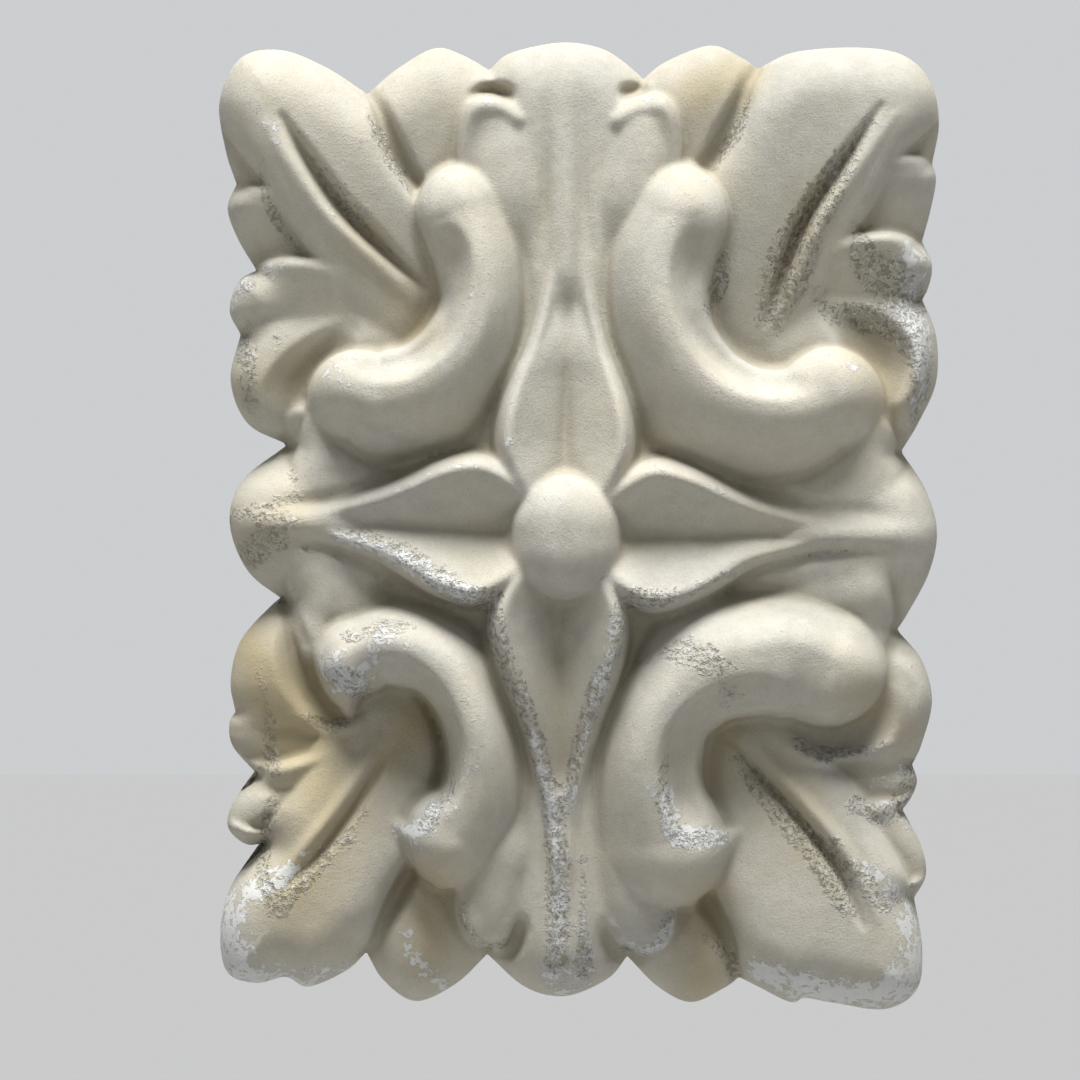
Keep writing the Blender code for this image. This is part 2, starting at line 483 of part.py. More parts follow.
def fit_to_outline(u, v, line):
    """Bend a square sheet, u and v from -1 to 1, so that its border follows the outline."""
    middle = 0.5 * (line.max(axis=0) + line.min(axis=0))
    half = 0.5 * (line.max(axis=0) - line.min(axis=0))
    closed = np.vstack([line, line[:1]])[::-1] - middle
    bearing = np.unwrap(np.arctan2(closed[:, 1], closed[:, 0]))
    run = np.append(0, np.cumsum(np.hypot(*np.diff(closed, axis=0).T)))
    place = 0.5 * (bearing + bearing[0] + 2 * math.pi * run / run[-1])
    toward = np.arctan2(half[1] * v, half[0] * u)
    toward = place[0] + np.mod(toward - place[0], 2 * math.pi)
    ring = np.maximum(np.abs(u), np.abs(v))
    hold = ring**EDGE_HOLD
    bent = []
    for axis, even in ((0, half[0] * u), (1, half[1] * v)):
        border = np.interp(toward, place, closed[:, axis])
        bent.append(middle[axis] + even * EVEN_STRETCH * (1 - hold) + border * ring * hold)
    return bent


def edge_distance(x, z, line, reach):
    """Distance of each point to the closed line, no more than reach."""
    far = np.full(x.shape, reach)
    order = np.argsort(x)
    sorted_x = x[order]
    for (ax, az), (bx, bz) in zip(line, np.roll(line, -1, axis=0)):
        first = np.searchsorted(sorted_x, min(ax, bx) - reach)
        last = np.searchsorted(sorted_x, max(ax, bx) + reach)
        near = order[first:last]
        near = near[np.abs(z[near] - 0.5 * (az + bz)) < reach + 0.5 * abs(az - bz)]
        dx, dz = bx - ax, bz - az
        t = np.clip(((x[near] - ax) * dx + (z[near] - az) * dz) / (dx * dx + dz * dz), 0, 1)
        far[near] = np.minimum(far[near], np.hypot(x[near] - ax - t * dx, z[near] - az - t * dz))
    return far


def front_surface(x, z, line, relief):
    """Where each drawn point of the front lies, in metres, with its edge rounded down to the wall."""
    low, high = line.min(axis=0), line.max(axis=0)
    middle = 0.5 * (low + high)
    scale = np.array([WIDTH, HEIGHT]) / (high - low)
    depth = relief.at(x, z) * DEPTH / DRAWN_DEPTH
    x, z = (x - middle[0]) * scale[0], (z - middle[1]) * scale[1]
    inset = edge_distance(x, z, (line - middle) * scale, EDGE_REACH)
    return x, -WALL - (depth - WALL) * swell(1 - inset / EDGE_REACH, *EDGE_FORM), z


def make_body(name):
    """The cast body: a sheet of quads pressed to the relief, turned back to a flat back and thinned."""
    line = drawn_outline()
    relief = carve()
    bm = bmesh.new()
    bmesh.ops.create_grid(bm, x_segments=COLUMNS, y_segments=ROWS, size=1.0)
    u, v, _ = np.array([vertex.co for vertex in bm.verts]).T
    x, z = fit_to_outline(u, v, line)
    for vertex, place in zip(bm.verts, np.column_stack(front_surface(x, z, line, relief))):
        vertex.co = place
    border = [edge for edge in bm.edges if edge.is_boundary]
    turned = bmesh.ops.extrude_edge_only(bm, edges=border)["geom"]
    for vertex in (item for item in turned if isinstance(item, bmesh.types.BMVert)):
        vertex.co.y = 0
    back = [edge for edge in bm.edges if edge.is_boundary]
    bmesh.ops.contextual_create(bm, geom=back)
    bmesh.ops.recalc_face_normals(bm, faces=bm.faces)
    bmesh.ops.triangulate(bm, faces=bm.faces)
    mesh = bpy.data.meshes.new(name)
    bm.to_mesh(mesh)
    bm.free()
    mesh.shade_smooth()
    mesh.set_sharp_from_angle(angle=math.radians(60))
    body = bpy.data.objects.new(name, mesh)
    thin = body.modifiers.new("thin", "DECIMATE")
    thin.ratio = TRIANGLES / len(mesh.polygons)
    return body


def stone():
    """Chalky cast stone."""
    material = bpy.data.materials.new("cast_stone")
    material.use_nodes = True
    shader = material.node_tree.nodes["Principled BSDF"]
    shader.inputs["Base Color"].default_value = (0.58, 0.55, 0.47, 1.0)
    shader.inputs["Roughness"].default_value = 0.9
    shader.inputs["Metallic"].default_value = 0.0
    return material


def main():
    for old in list(bpy.data.objects):
        bpy.data.objects.remove(old, do_unlink=True)
    parts = bpy.data.collections.new("gothic_rosette")
    bpy.context.scene.collection.children.link(parts)
    body = make_body("rosette")
    body.data.materials.append(stone())
    parts.objects.link(body)


main()
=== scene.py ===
"""Gothic rosette in cast stone: its fine carving, its weathered finish and the view of it.

The carving is drawn in millimetres about the middle, x to the right and z up, with heights from the
flat back. The front faces -Y and the back lies at y = 0.
"""

import math

import bmesh
import bpy
import numpy as np
from bpy.props import FloatProperty, FloatVectorProperty, IntProperty, PointerProperty
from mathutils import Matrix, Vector


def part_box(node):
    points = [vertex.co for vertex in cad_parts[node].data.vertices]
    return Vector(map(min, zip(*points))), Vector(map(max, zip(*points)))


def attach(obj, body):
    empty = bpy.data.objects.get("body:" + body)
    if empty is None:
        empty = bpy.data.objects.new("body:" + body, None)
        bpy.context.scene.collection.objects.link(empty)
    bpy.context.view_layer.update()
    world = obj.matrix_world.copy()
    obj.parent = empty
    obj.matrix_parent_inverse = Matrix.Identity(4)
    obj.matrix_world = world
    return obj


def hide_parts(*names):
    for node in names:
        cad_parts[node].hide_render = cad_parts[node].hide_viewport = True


bl_info = {
    "name": "Gothic Rosette",
    "version": (1, 0, 0),
    "blender": (4, 5, 0),
    "location": "View3D > Sidebar > Rosette",
    "description": "Carves a gothic rosette and finishes it as weathered cast stone",
    "category": "Add Mesh",
}

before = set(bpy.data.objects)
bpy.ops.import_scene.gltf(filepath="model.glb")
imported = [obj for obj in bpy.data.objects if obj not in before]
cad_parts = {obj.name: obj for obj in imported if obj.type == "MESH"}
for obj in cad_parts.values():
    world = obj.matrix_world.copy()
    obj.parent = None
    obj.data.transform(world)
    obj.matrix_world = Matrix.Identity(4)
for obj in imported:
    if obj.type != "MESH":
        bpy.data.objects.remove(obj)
CAD_LOW, CAD_HIGH = (np.array(corner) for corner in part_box("rosette"))
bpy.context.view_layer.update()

# Sizes of the casting, in metres.
WIDTH = 0.144
HEIGHT = 0.1934
DEPTH = 0.036
WALL = 0.007
EDGE_REACH = 0.012

# The drawing that the relief is carved from, in millimetres.
DRAWN_DEPTH = 36.0
SOFTNESS = 0.45
FLOOR = 14.0
MARGIN = 3.0
PETAL_FOOT = 16.0
VALLEY_REACH = 1.15

# The sheet that the front is pressed from.
EVEN_STRETCH = 0.96
EDGE_HOLD = 5
EDGE_CROWDING = 0.2
EDGE_FORM = (2.6, 0.6)
CREASE_ANGLE = math.radians(70)

# Points drawn from one given point to the next: on strokes, on the outline and in runs of values.
STROKE_SPAN = 10
OUTLINE_SPAN = 12
VALUE_SPAN = 12
BESIDE_SPAN = 3
RUN_STATIONS = 97

# What the photograph's frame takes in at the rosette, where its middle looks, and the camera's sensor.
PHOTO_WIDTH = 0.216
PHOTO_MIDDLE = (-0.0078, -0.0028)
SENSOR = 36.0

# Where the lights hang, and the heights between which the horizon's band fades into the sky.
KEY_PLACE = Vector((0.0, -0.28, 1.0))
BACK_BOX_PLACE = Vector((0.0, 1.5, 0.5))
HORIZON_BAND = (0.12, 0.2)

# Outline, clockwise from the top left. Each lobe starts at its notch and ends at the next one.
LOBES = (
    ((-68.6, 68.4), (-70.8, 75.2), (-72, 85.2), (-67.8, 93.6), (-59.8, 95.2), (-50.8, 91.8)),
    ((-42.4, 86.4), (-36.8, 91.2), (-29.2, 95.5), (-23.8, 94.4)),
    ((-18, 91.2), (-13.8, 94.6), (-3.8, 96.7), (4.2, 95.6), (9.2, 92.6)),
    ((12.8, 89.4), (17.2, 92.8), (26.2, 96.1), (32.6, 93.6)),
    ((35.6, 91.4), (43.2, 94.8), (56.2, 95.7), (65.2, 94), (70.4, 88.6), (72, 80.8)),
    ((70.6, 72.4), (71.4, 69.2), (70.2, 62.8)),
    ((68.6, 57), (70.6, 52.2), (69.8, 47.6)),
    ((68.6, 45.4), (71.4, 38.2), (71.4, 28.8), (67.8, 20.6)),
    ((64.4, 15), (69.2, 7.6), (71.6, -0.8), (70, -9.2), (65.8, -17.2)),
    ((63.6, -20.6), (68.6, -26.8), (70.6, -34.8), (68.6, -43.2)),
    ((66.6, -47.6), (67.6, -50.8), (66.4, -54.2)),
    ((64.6, -56.6), (68.2, -63.2), (69.4, -69.4)),
    ((67, -74.2), (68.6, -83.8), (67.6, -92.4), (61.2, -96.4), (51.2, -95.2), (45.2, -94.2),
     (42.2, -95), (35.2, -91.6)),
    ((32, -90), (28.6, -92.4), (22.2, -95), (15.6, -91.8)),
    ((9.6, -85.8), (5.6, -90.4), (-2.8, -93.8), (-10.8, -92)),
    ((-18.4, -85.4), (-24.8, -91.4), (-32.8, -94.8), (-39.2, -90.6)),
    ((-42.6, -85), (-46.8, -88.8), (-54.2, -91.9), (-58.8, -90), (-64.8, -91.2), (-70.6, -88.8),
     (-71.8, -79.8), (-69.2, -70.8)),
    ((-62.8, -63.2), (-66.8, -63.4), (-70.4, -59.8), (-68.8, -54.2)),
    ((-64.4, -49.6), (-69.4, -43.8), (-70, -39)),
    ((-68.8, -37.2), (-69.8, -30.8), (-67.8, -22.8), (-61.8, -16)),
    ((-58.8, -15), (-66.4, -8.8), (-70, 0.8), (-67.4, 9.2)),
    ((-58.4, 16.4), (-66.4, 20.6), (-69.8, 29.2)),
    ((-67.8, 38.4), (-70, 43.2), (-68.2, 49)),
    ((-64.6, 51.2), (-68.4, 57.6), (-70.4, 63.6)),
)


def curve(points, per_span):
    """Smooth curve through the points, ends included (Catmull-Rom)."""
    nodes = np.asarray(points, float)
    nodes = np.vstack([2 * nodes[:1] - nodes[1:2], nodes, 2 * nodes[-1:] - nodes[-2:-1]])
    t = np.linspace(0, 1, per_span, endpoint=False)[:, None]
    spans = [
        0.5 * (2 * b + (c - a) * t + (2 * a - 5 * b + 4 * c - d) * t**2 + (3 * b - a - 3 * c + d) * t**3)
        for a, b, c, d in zip(nodes, nodes[1:], nodes[2:], nodes[3:])
    ]
    return np.vstack(spans + [nodes[-2:-1]])


def spread(values, count):
    """The values spread evenly and smoothly over count stations."""
    values = np.atleast_1d(values).astype(float)
    if len(values) == 1:
        return np.full(count, values[0])
    fine = curve(values[:, None], VALUE_SPAN)[:, 0]
    return np.interp(np.linspace(0, 1, count), np.linspace(0, 1, len(fine)), fine)


def along(run, values):
    """The values at each share of the run."""
    return np.interp(run, np.linspace(0, 1, RUN_STATIONS), spread(values, RUN_STATIONS))


def swell(share, power, root):
    """One at share 0 and nought at share 1: a dome, a bell or a wedge by its two exponents."""
    return np.maximum(1 - np.minimum(share, 1) ** power, 0) ** root


def blend_up(a, b, width):
    """The higher of two surfaces, with the corner between them filled over the width."""
    if width <= 0:
        return np.maximum(a, b)
    t = np.clip(0.5 + 0.5 * (a - b) / width, 0, 1)
    return b + t * (a - b) + width * t * (1 - t)


class Relief:
    """Heights on a grid of drawing millimetres, built up and cut back by strokes along paths."""

    def __init__(self, reach, step, level=FLOOR):
        self.reach, self.step = reach, step
        self.xs = self.zs = np.arange(-reach, reach + step, step)
        self.high = np.full((len(self.zs), len(self.xs)), level)

    def stroke(self, path, left, right):
        """Grid window of a stroke, with each point's share of the half-width, run and side."""
        line = curve(path, STROKE_SPAN)
        count = len(line) - 1
        left, right = spread(left, count + 1), spread(right, count + 1)
        reach = max(left.max(), right.max())
        i0, i1 = np.searchsorted(self.xs, (line[:, 0].min() - reach, line[:, 0].max() + reach))
        j0, j1 = np.searchsorted(self.zs, (line[:, 1].min() - reach, line[:, 1].max() + reach))
        window = (slice(j0, j1), slice(i0, i1))
        px, pz = np.meshgrid(self.xs[i0:i1], self.zs[j0:j1])
        nearest, share = np.full(px.shape, np.inf), np.full(px.shape, 9.0)
        run, side = np.zeros(px.shape), np.zeros(px.shape)
        for i in range(count):
            (ax, az), (dx, dz) = line[i], line[i + 1] - line[i]
            size = dx * dx + dz * dz
            t = np.clip(((px - ax) * dx + (pz - az) * dz) / size, 0, 1)
            ex, ez = px - ax - t * dx, pz - az - t * dz
            far = np.hypot(ex, ez) + 1e-9
            turn = (dx * ez - dz * ex) / (far * math.sqrt(size))
            to_left = left[i] + t * (left[i + 1] - left[i])
            to_right = right[i] + t * (right[i + 1] - right[i])
            nearer = far < nearest
            nearest = np.where(nearer, far, nearest)
            part = far / (0.5 * (to_left + to_right) + 0.5 * (to_left - to_right) * turn)
            share = np.where(nearer, part, share)
            run = np.where(nearer, (i + t) / count, run)
            side = np.where(nearer, turn, side)
        return window, share, run, side

    def add(self, path, left, high, right=None, foot=FLOOR, form=(2.6, 0.6), form_right=None, soft=0.0):
        """Raise a rounded band along the path: half-widths left and right of it, and its heights."""
        right = left if right is None else right
        form_right = form if form_right is None else form_right
        window, share, run, side = self.stroke(path, left, right)
        power, root = (0.5 * (a + b) + 0.5 * (a - b) * side for a, b in zip(form, form_right))
        band = foot + (along(run, high) - foot) * swell(share, power, root)
        old = self.high[window]
        self.high[window] = np.where(share < 1, blend_up(old, band, soft), old)

    def add_all(self, rows, **rest):
        """Raise a band for each row of path, half-widths and heights."""
        for path, half, high in rows:
            self.add(path, half, high, **rest)

    def add_rimmed(self, hand, path, rim, slope, high, rim_form, slope_form, **rest):
        """Raise a band with a crisp rim on its left (hand 1) or right (hand -1), and a slope opposite."""
        (left, form), (right, form_right) = ((rim, rim_form), (slope, slope_form))[::hand]
        self.add(path, left, high, right=right, form=form, form_right=form_right, **rest)

    def cut(self, path, left, deep, right=None, form=(1.6, 1)):
        """Cut a groove along the path, by its half-widths and depths."""
        window, share, run, _ = self.stroke(path, left, left if right is None else right)
        self.high[window] -= along(run, deep) * swell(share, *form)

    def cut_all(self, rows, **rest):
        """Cut a groove for each row of path, half-widths and depths."""
        for path, half, deep in rows:
            self.cut(path, half, deep, **rest)

    def soften(self, reach):
        """Round every crease a little, as a mould and its wear do."""
        half = int(math.ceil(3 * reach / self.step))
        weights = np.exp(-0.5 * (np.arange(-half, half + 1) * self.step / reach) ** 2)
        weights /= weights.sum()
        for axis in (0, 1):
            size = self.high.shape[axis]
            pad = [(half, half) if a == axis else (0, 0) for a in (0, 1)]
            wide = np.pad(self.high, pad, mode="edge")
            rows = (w * np.take(wide, range(i, i + size), axis=axis) for i, w in enumerate(weights))
            self.high = sum(rows)

    def at(self, x, z):
        """Height at any point, between the four grid points round it."""
        i = np.clip((x - self.xs[0]) / self.step, 0, len(self.xs) - 1.001)
        j = np.clip((z - self.zs[0]) / self.step, 0, len(self.zs) - 1.001)
        i0, j0 = i.astype(int), j.astype(int)
        s, t = i - i0, j - j0
        low = self.high[j0, i0] * (1 - s) + self.high[j0, i0 + 1] * s
        top = self.high[j0 + 1, i0] * (1 - s) + self.high[j0 + 1, i0 + 1] * s
        return low * (1 - t) + top * t


def beside(path, shift):
    """The path moved sideways by the shift, or by shifts along it, to its left where positive."""
    line = curve(path, BESIDE_SPAN)
    way = np.gradient(line, axis=0)
    way /= np.hypot(way[:, 0], way[:, 1])[:, None]
    return line + spread(shift, len(line))[:, None] * np.column_stack((-way[:, 1], way[:, 0]))


def carve_ground(relief):
    """The swelling of the ground under the flower and the scrolls."""
    for reach, half, high in (
        (42, (16, 31, 42, 31, 16), (20, 22, 23.5, 22, 20)),
        (63, (13, 22, 28, 22, 13), (19, 22, 23, 22, 19)),
    ):
        relief.add(((-3, -reach), (-3, 0), (-3, reach)), half, high, form=(2.2, 0.7), soft=1)


def carve_lobes(relief):
    """The low lobes under each corner leaf, and three down its side, each over the next one out."""
    low = (14.5, 15.5, 16.5, 15)
    relief.add_all((
        (((-30, 62), (-30, 72), (-30.5, 84), (-30, 100)), (9, 13, 14, 13), low),
        (((22, 64), (24, 74), (26, 84), (26, 101)), (10, 13, 14, 13), low),
        (((-29, -66), (-30, -74), (-32, -84), (-32, -99)), (9, 12, 14, 13), low),
        (((20, -68), (21, -76), (22, -84), (22, -100)), (10, 13, 14, 13), low),
        (((-46, 31), (-58, 29), (-71, 28)), (13, 14, 13), (17.5, 18.5, 17)),
        (((50, 33), (60, 31), (73, 30)), (14, 16, 15), (17.5, 18.5, 17.5)),
        (((48, -34), (60, -33), (73, -33)), (12, 14, 13), (17, 18, 16.5)),
        (((-48, -27), (-60, -27), (-72, -28)), (12, 13, 12), (17, 18.5, 17)),
    ), form=(2.4, 0.7), soft=1)
    for hand, path, inside, high in (
        (-1, ((-56, 64.4), (-62, 65.8), (-68, 64.6), (-73, 60)), (13, 13, 12, 10), (17, 19, 19, 18)),
        (-1, ((-50, 50.6), (-58, 51.4), (-65, 49.4), (-73, 44)), (16, 18, 16, 14), (19, 20.5, 20.5, 19)),
        (-1, ((74, -52), (66, -55.6), (58, -56.4), (50, -54)), (10, 12, 13, 12), (18, 19.5, 19.5, 18.5)),
        (-1, ((74, -70), (66, -72.4), (58, -72), (50, -68)), (13, 15, 15, 14), (17.5, 19, 19, 18)),
        (1, ((54, 69.6), (60, 71.4), (66, 71.8), (74, 68.6)), (15, 16, 16, 14), (18, 19, 19.5, 18.5)),
        (1, ((50, 54.6), (57, 56.2), (64, 55.8), (74, 51)), (14, 16, 15, 13), (19, 20.5, 20.5, 19)),
        (1, ((-74, -44), (-67, -48.4), (-60, -48.8), (-50, -46)), (12, 14, 14, 12), (18, 20, 20, 18.5)),
        (1, ((-74, -58), (-67, -61.6), (-61, -61.8), (-52, -58)), (12, 12, 12, 11), (17.5, 19, 19, 18)),
    ):
        relief.add_rimmed(hand, path, 2.2, inside, high, (2.6, 0.5), (1, 1.4), soft=0.5)


def carve_scoops(relief):
    """Hollows in the inner side lobes, and the rims round them, which are cut upwards."""
    relief.cut_all((
        (((-46, 39), (-51, 33), (-56, 26), (-57, 19)), (3, 6, 7.5, 5), (1, 4.4, 4.4, 1)),
        (((50, 42), (56, 38), (60, 32), (61, 24)), (3, 6, 7.5, 5), (1, 4.6, 4.6, 1)),
        (((44, -38.6), (51, -40.6), (57, -38), (60, -31)), (3, 5, 6.5, 5), (1, 3.8, 3.6, 1)),
        (((-57, -18), (-55, -25), (-52, -32), (-46, -36.4)), (3.5, 6, 6, 3.5), (1, 4.2, 4.6, 2)),
        (((-68, -50.6), (-62.5, -51.8), (-57, -52)), (1.6, 1.8, 1), (1, 1.6, 0.3)),
    ), form=(2, 1.3))
    relief.cut_all((
        (((40, -42.6), (47.2, -45.8), (53, -45.6), (62, -43.4)), 1.8, (-0.3, -1.8, -1.8, -0.6)),
        (((-57, -37.8), (-51, -40.4), (-44, -38.4)), 1.8, (-0.4, -2, -0.8)),
        (((66, 44), (67.6, 33), (64, 21)), 3, (-0.6, -2.2, -1)),
        (((68, -40), (68.4, -32), (64, -24)), 3, (-1, -1.8, -0.6)),
    ), form=(2, 1.5))


def carve_notches(relief):
    """A short crease from each notch of the outline towards the middle."""
    for lobe in LOBES:
        notch = np.array(lobe[0])
        inward = notch * (1 - 5 / np.hypot(*notch))
        relief.cut((notch, 0.5 * (notch + inward), inward), (1.6, 1.4, 1), (2.2, 1, 0), form=(1.4, 1.2))


def carve_creases(relief):
    """The groove at the foot of the step from each corner leaf to the under lobe beside it."""
    for path, away in (
        (((-42.4, 87), (-40.8, 81), (-38.2, 74.2), (-35, 68), (-32, 63.5)), 1),
        (((35.8, 92), (34, 85), (31.4, 79), (28.4, 73.5), (25.4, 69)), -1),
        (((-42.4, -86), (-41, -80), (-38.6, -74.5), (-36, -69), (-33, -64)), -1),
        (((32.2, -91), (31.6, -84), (29.8, -79), (27, -74), (24.6, -71)), 1),
    ):
        foot = beside(path, 1.7 * away)
        relief.cut(foot, (1.2, 2.2, 2.6, 2.6, 1.8), (0.5, 2.4, 3, 3, 1.5))


def carve_corner_leaves(relief):
    """A broad leaf in each corner: crisp where it overlaps the under lobe, falling to its side lobes."""
    for hand, path, crisp, gentle in (
        (-1, ((-27, 40), (-41, 57), (-49, 66), (-57, 78), (-67, 95)),
         (15, 13.4, 14, 17.2, 22), (12, 12.8, 11, 11, 14)),
        (1, ((33, 36), (42, 56), (49, 68), (57, 81), (67, 96)),
         (16, 20.6, 21, 23.6, 28), (11, 10.8, 10.8, 11, 15)),
        (1, ((-32, -36), (-42, -52), (-49, -61), (-57, -72), (-68, -90)),
         (19, 17.4, 15.8, 18.6, 23), (12, 14, 13, 11, 14)),
        (-1, ((25, -36), (38, -52), (46, -62), (54, -75), (63, -95)),
         (21, 22.8, 22.8, 25, 30), (12, 13, 14, 13, 15)),
    ):
        relief.add_rimmed(hand, path, crisp, gentle, (15, 19.5, 21.5, 22, 20), (6, 0.5), (4, 0.6), soft=0.5)


def carve_veins(relief):
    """A groove down the middle of each corner leaf, with a raised lip on the side of its side lobes."""
    for path, lip, half, deep in (
        (((-59, 81), (-53.5, 72), (-47.5, 63.5), (-39.5, 55.5), (-30.5, 47)), -3.4, 2.4, 4.6),
        (((59.5, 83), (52, 72), (45, 61.5), (40.5, 51), (37, 40)), 3.2, 2, 4),
        (((-59, -72), (-52, -65), (-46, -57.5), (-41, -50), (-37.5, -43)), 3, 1.5, 2.8),
        (((56, -79), (50.5, -67), (43, -57.5), (36, -49.5), (29.5, -42)), -3.2, 1.8, 3.4),
    ):
        rising = np.array((0.2, 0.8, 1, 0.8, 0.2))
        relief.cut(beside(path, lip), 1.2 * half * rising**0.4, -1.4 * rising, form=(2, 1.5))
        relief.cut(path, half * rising**0.6, deep * rising, form=(1.3, 1))


def carve_middle_leaves(relief):
    """The leaf that runs out from the boss to the middle of each side, with its curled ears."""
    for path, half in (
        (((-2, 30), (-2, 48), (-2, 64), (-3, 80), (-3, 101)), (12, 13, 15, 19, 19)),
        (((-3, -34), (-3, -52), (-3, -66), (-4, -80), (-4, -98)), (12, 12, 13, 17, 17)),
        (((-24, 0), (-38, 0), (-48, 0), (-59, 0), (-75, 0)), (11, 13, 15, 17, 17)),
        (((26, -2), (38, -2), (50, -2), (60, -3), (77, -4)), (11, 13, 16, 19, 18)),
    ):
        relief.add(path, half, (22, 21.5, 20.5, 19.5, 18), soft=1)
    side, above, below = (19.5, 20, 19), (17.6, 22.6, 22.6, 21.6), (17, 22, 22, 21)
    relief.add_all((
        (((-46, 8), (-51.4, 13), (-54, 20)), (8, 6.5, 5), side),
        (((-46, -8), (-52, -12), (-53.4, -17), (-52, -23)), (8, 6.5, 5.4, 4.4), side),
        (((52, 8), (57, 13), (58, 19), (56, 25)), (8, 6.5, 5, 4), side),
        (((52, -10), (57, -14), (59.4, -20)), (8, 6.5, 5), side),
        (((-11.6, 46), (-14.6, 62), (-16, 72), (-16.9, 78.4)), (2, 7.5, 7.4, 6.2), above),
        (((7.6, 46), (10, 62), (11.8, 72), (12.6, 79)), (2, 7.5, 7.2, 6.2), above),
        (((-13, -48), (-15.4, -62), (-17, -70), (-17.8, -77.4)), (2, 7, 6.8, 5.6), below),
        (((7.6, -48), (9.4, -62), (11, -72), (11.4, -78.4)), (2, 7.5, 7.2, 6), below),
    ), soft=2)
    for path, half in ((((-52, -13), (-45, -15), (-37, -17)), (8, 7, 4)),
                       (((56, -13), (46, -14.4), (36, -15.4)), (6, 5.4, 3))):
        relief.add(path, half, (19.6, 19.6, 18.6), form=(2.4, 0.8), soft=2)
    upper = (3, 2.6, 2.4, 2.6, 2.6, 2.2), (12, 12, 10, 9, 8, 6), (18, 20, 21.4, 22.6, 22.4, 20.9)
    lower = (3, 2.6, 2.2, 2, 1.8, 1.2), (12, 12, 10, 9, 7, 5), (18.4, 20.4, 21.6, 22.2, 21.6, 20)
    for hand, path, ear in (
        (1, ((-21.4, 60), (-22.2, 72), (-21.6, 79.6), (-19.6, 83), (-16.6, 82.8), (-13, 80.6)), upper),
        (1, ((16, -60), (17.2, -72), (17, -79), (14.6, -82.4), (11, -82.6), (6.8, -79.4)), lower),
        (-1, ((16.6, 60), (18, 72), (17.6, 80), (15.4, 83.4), (12.2, 83), (8.2, 80.4)), upper),
        (-1, ((-21, -60), (-22.6, -70), (-22.4, -77), (-20.4, -81.2), (-17.4, -81.4), (-14.2, -78.6)), lower),
    ):
        relief.add_rimmed(hand, path, *ear, (2.4, 0.5), (1.6, 1), soft=0.6)
    relief.cut_all((
        (((-20.6, 85.6), (-18, 86.6), (-15, 86), (-12.6, 84)), (1.6, 2, 2, 1.2), (2, 5.5, 5, 0.3)),
        (((13.4, 86.4), (11.6, 86.9), (9.6, 86.3), (7.8, 84.6)), (1.4, 1.7, 1.7, 1.2), (1, 4.6, 4.4, 0.3)),
        (((-16.8, -86), (-13.6, -84), (-12, -80), (-11.4, -76.6)), (1.6, 2.2, 2, 1.2), (2, 5, 4, 0.3)),
        (((11.8, -86.6), (8, -85.6), (5.4, -82), (4.4, -78)), (1.6, 2.2, 2, 1.2), (2, 4.5, 3, 0.3)),
    ), form=(1.8, 1))


def carve_folds(relief):
    """The upper stalk's flat strip, the grooves beside both stalks, and the folds of the side leaves."""
    relief.cut(((-3.2, 87), (-3.2, 76), (-3.1, 62), (-3, 48), (-3, 34)), (2.6, 2.8, 2.9, 2.8, 2),
               (-0.2, -0.9, -1.3, -1.2, 0), form=(3, 0.8))
    upper, lower = (0.9, 1.2, 1.3, 1), (0.8, 1.1, 1.1, 0.8)
    relief.cut_all((
        (((-7, 84), (-7, 74), (-7.2, 62), (-8.4, 52)), upper, (0.1, 0.7, 1, 0.4)),
        (((0.6, 86), (0.6, 74), (1, 64), (2.4, 54)), upper, (0.1, 0.5, 0.8, 0.4)),
        (((-7.9, -52), (-6.9, -59.5), (-6.7, -67), (-6.1, -77)), lower, (0.1, 0.9, 1, 0.3)),
        (((0.2, -50), (-0.5, -57), (-0.9, -64.4), (-1.2, -77)), lower, (0.1, 0.9, 1, 0.3)),
    ))
    for path, left, right in (
        (((-53.4, 23), (-55.4, 19.6), (-56.6, 16), (-57, 12.2), (-56, 8)), 0.7, 6),
        (((-57, -6.6), (-58.2, -11.6), (-56.8, -16.2), (-54.6, -21.4), (-53, -25)), 0.7, 6),
        (((59.6, 22.4), (62.8, 18.8), (64.4, 15), (64.2, 11.4), (61, 7)), 5, 0.7),
        (((61, -8), (61.8, -12.4), (62.4, -18), (61.4, -22.4), (60, -26)), 6, 0.7),
    ):
        relief.cut(path, left, (0.4, 2.2, 2.6, 2, 0.2), right=right, form=(1, 1.2))


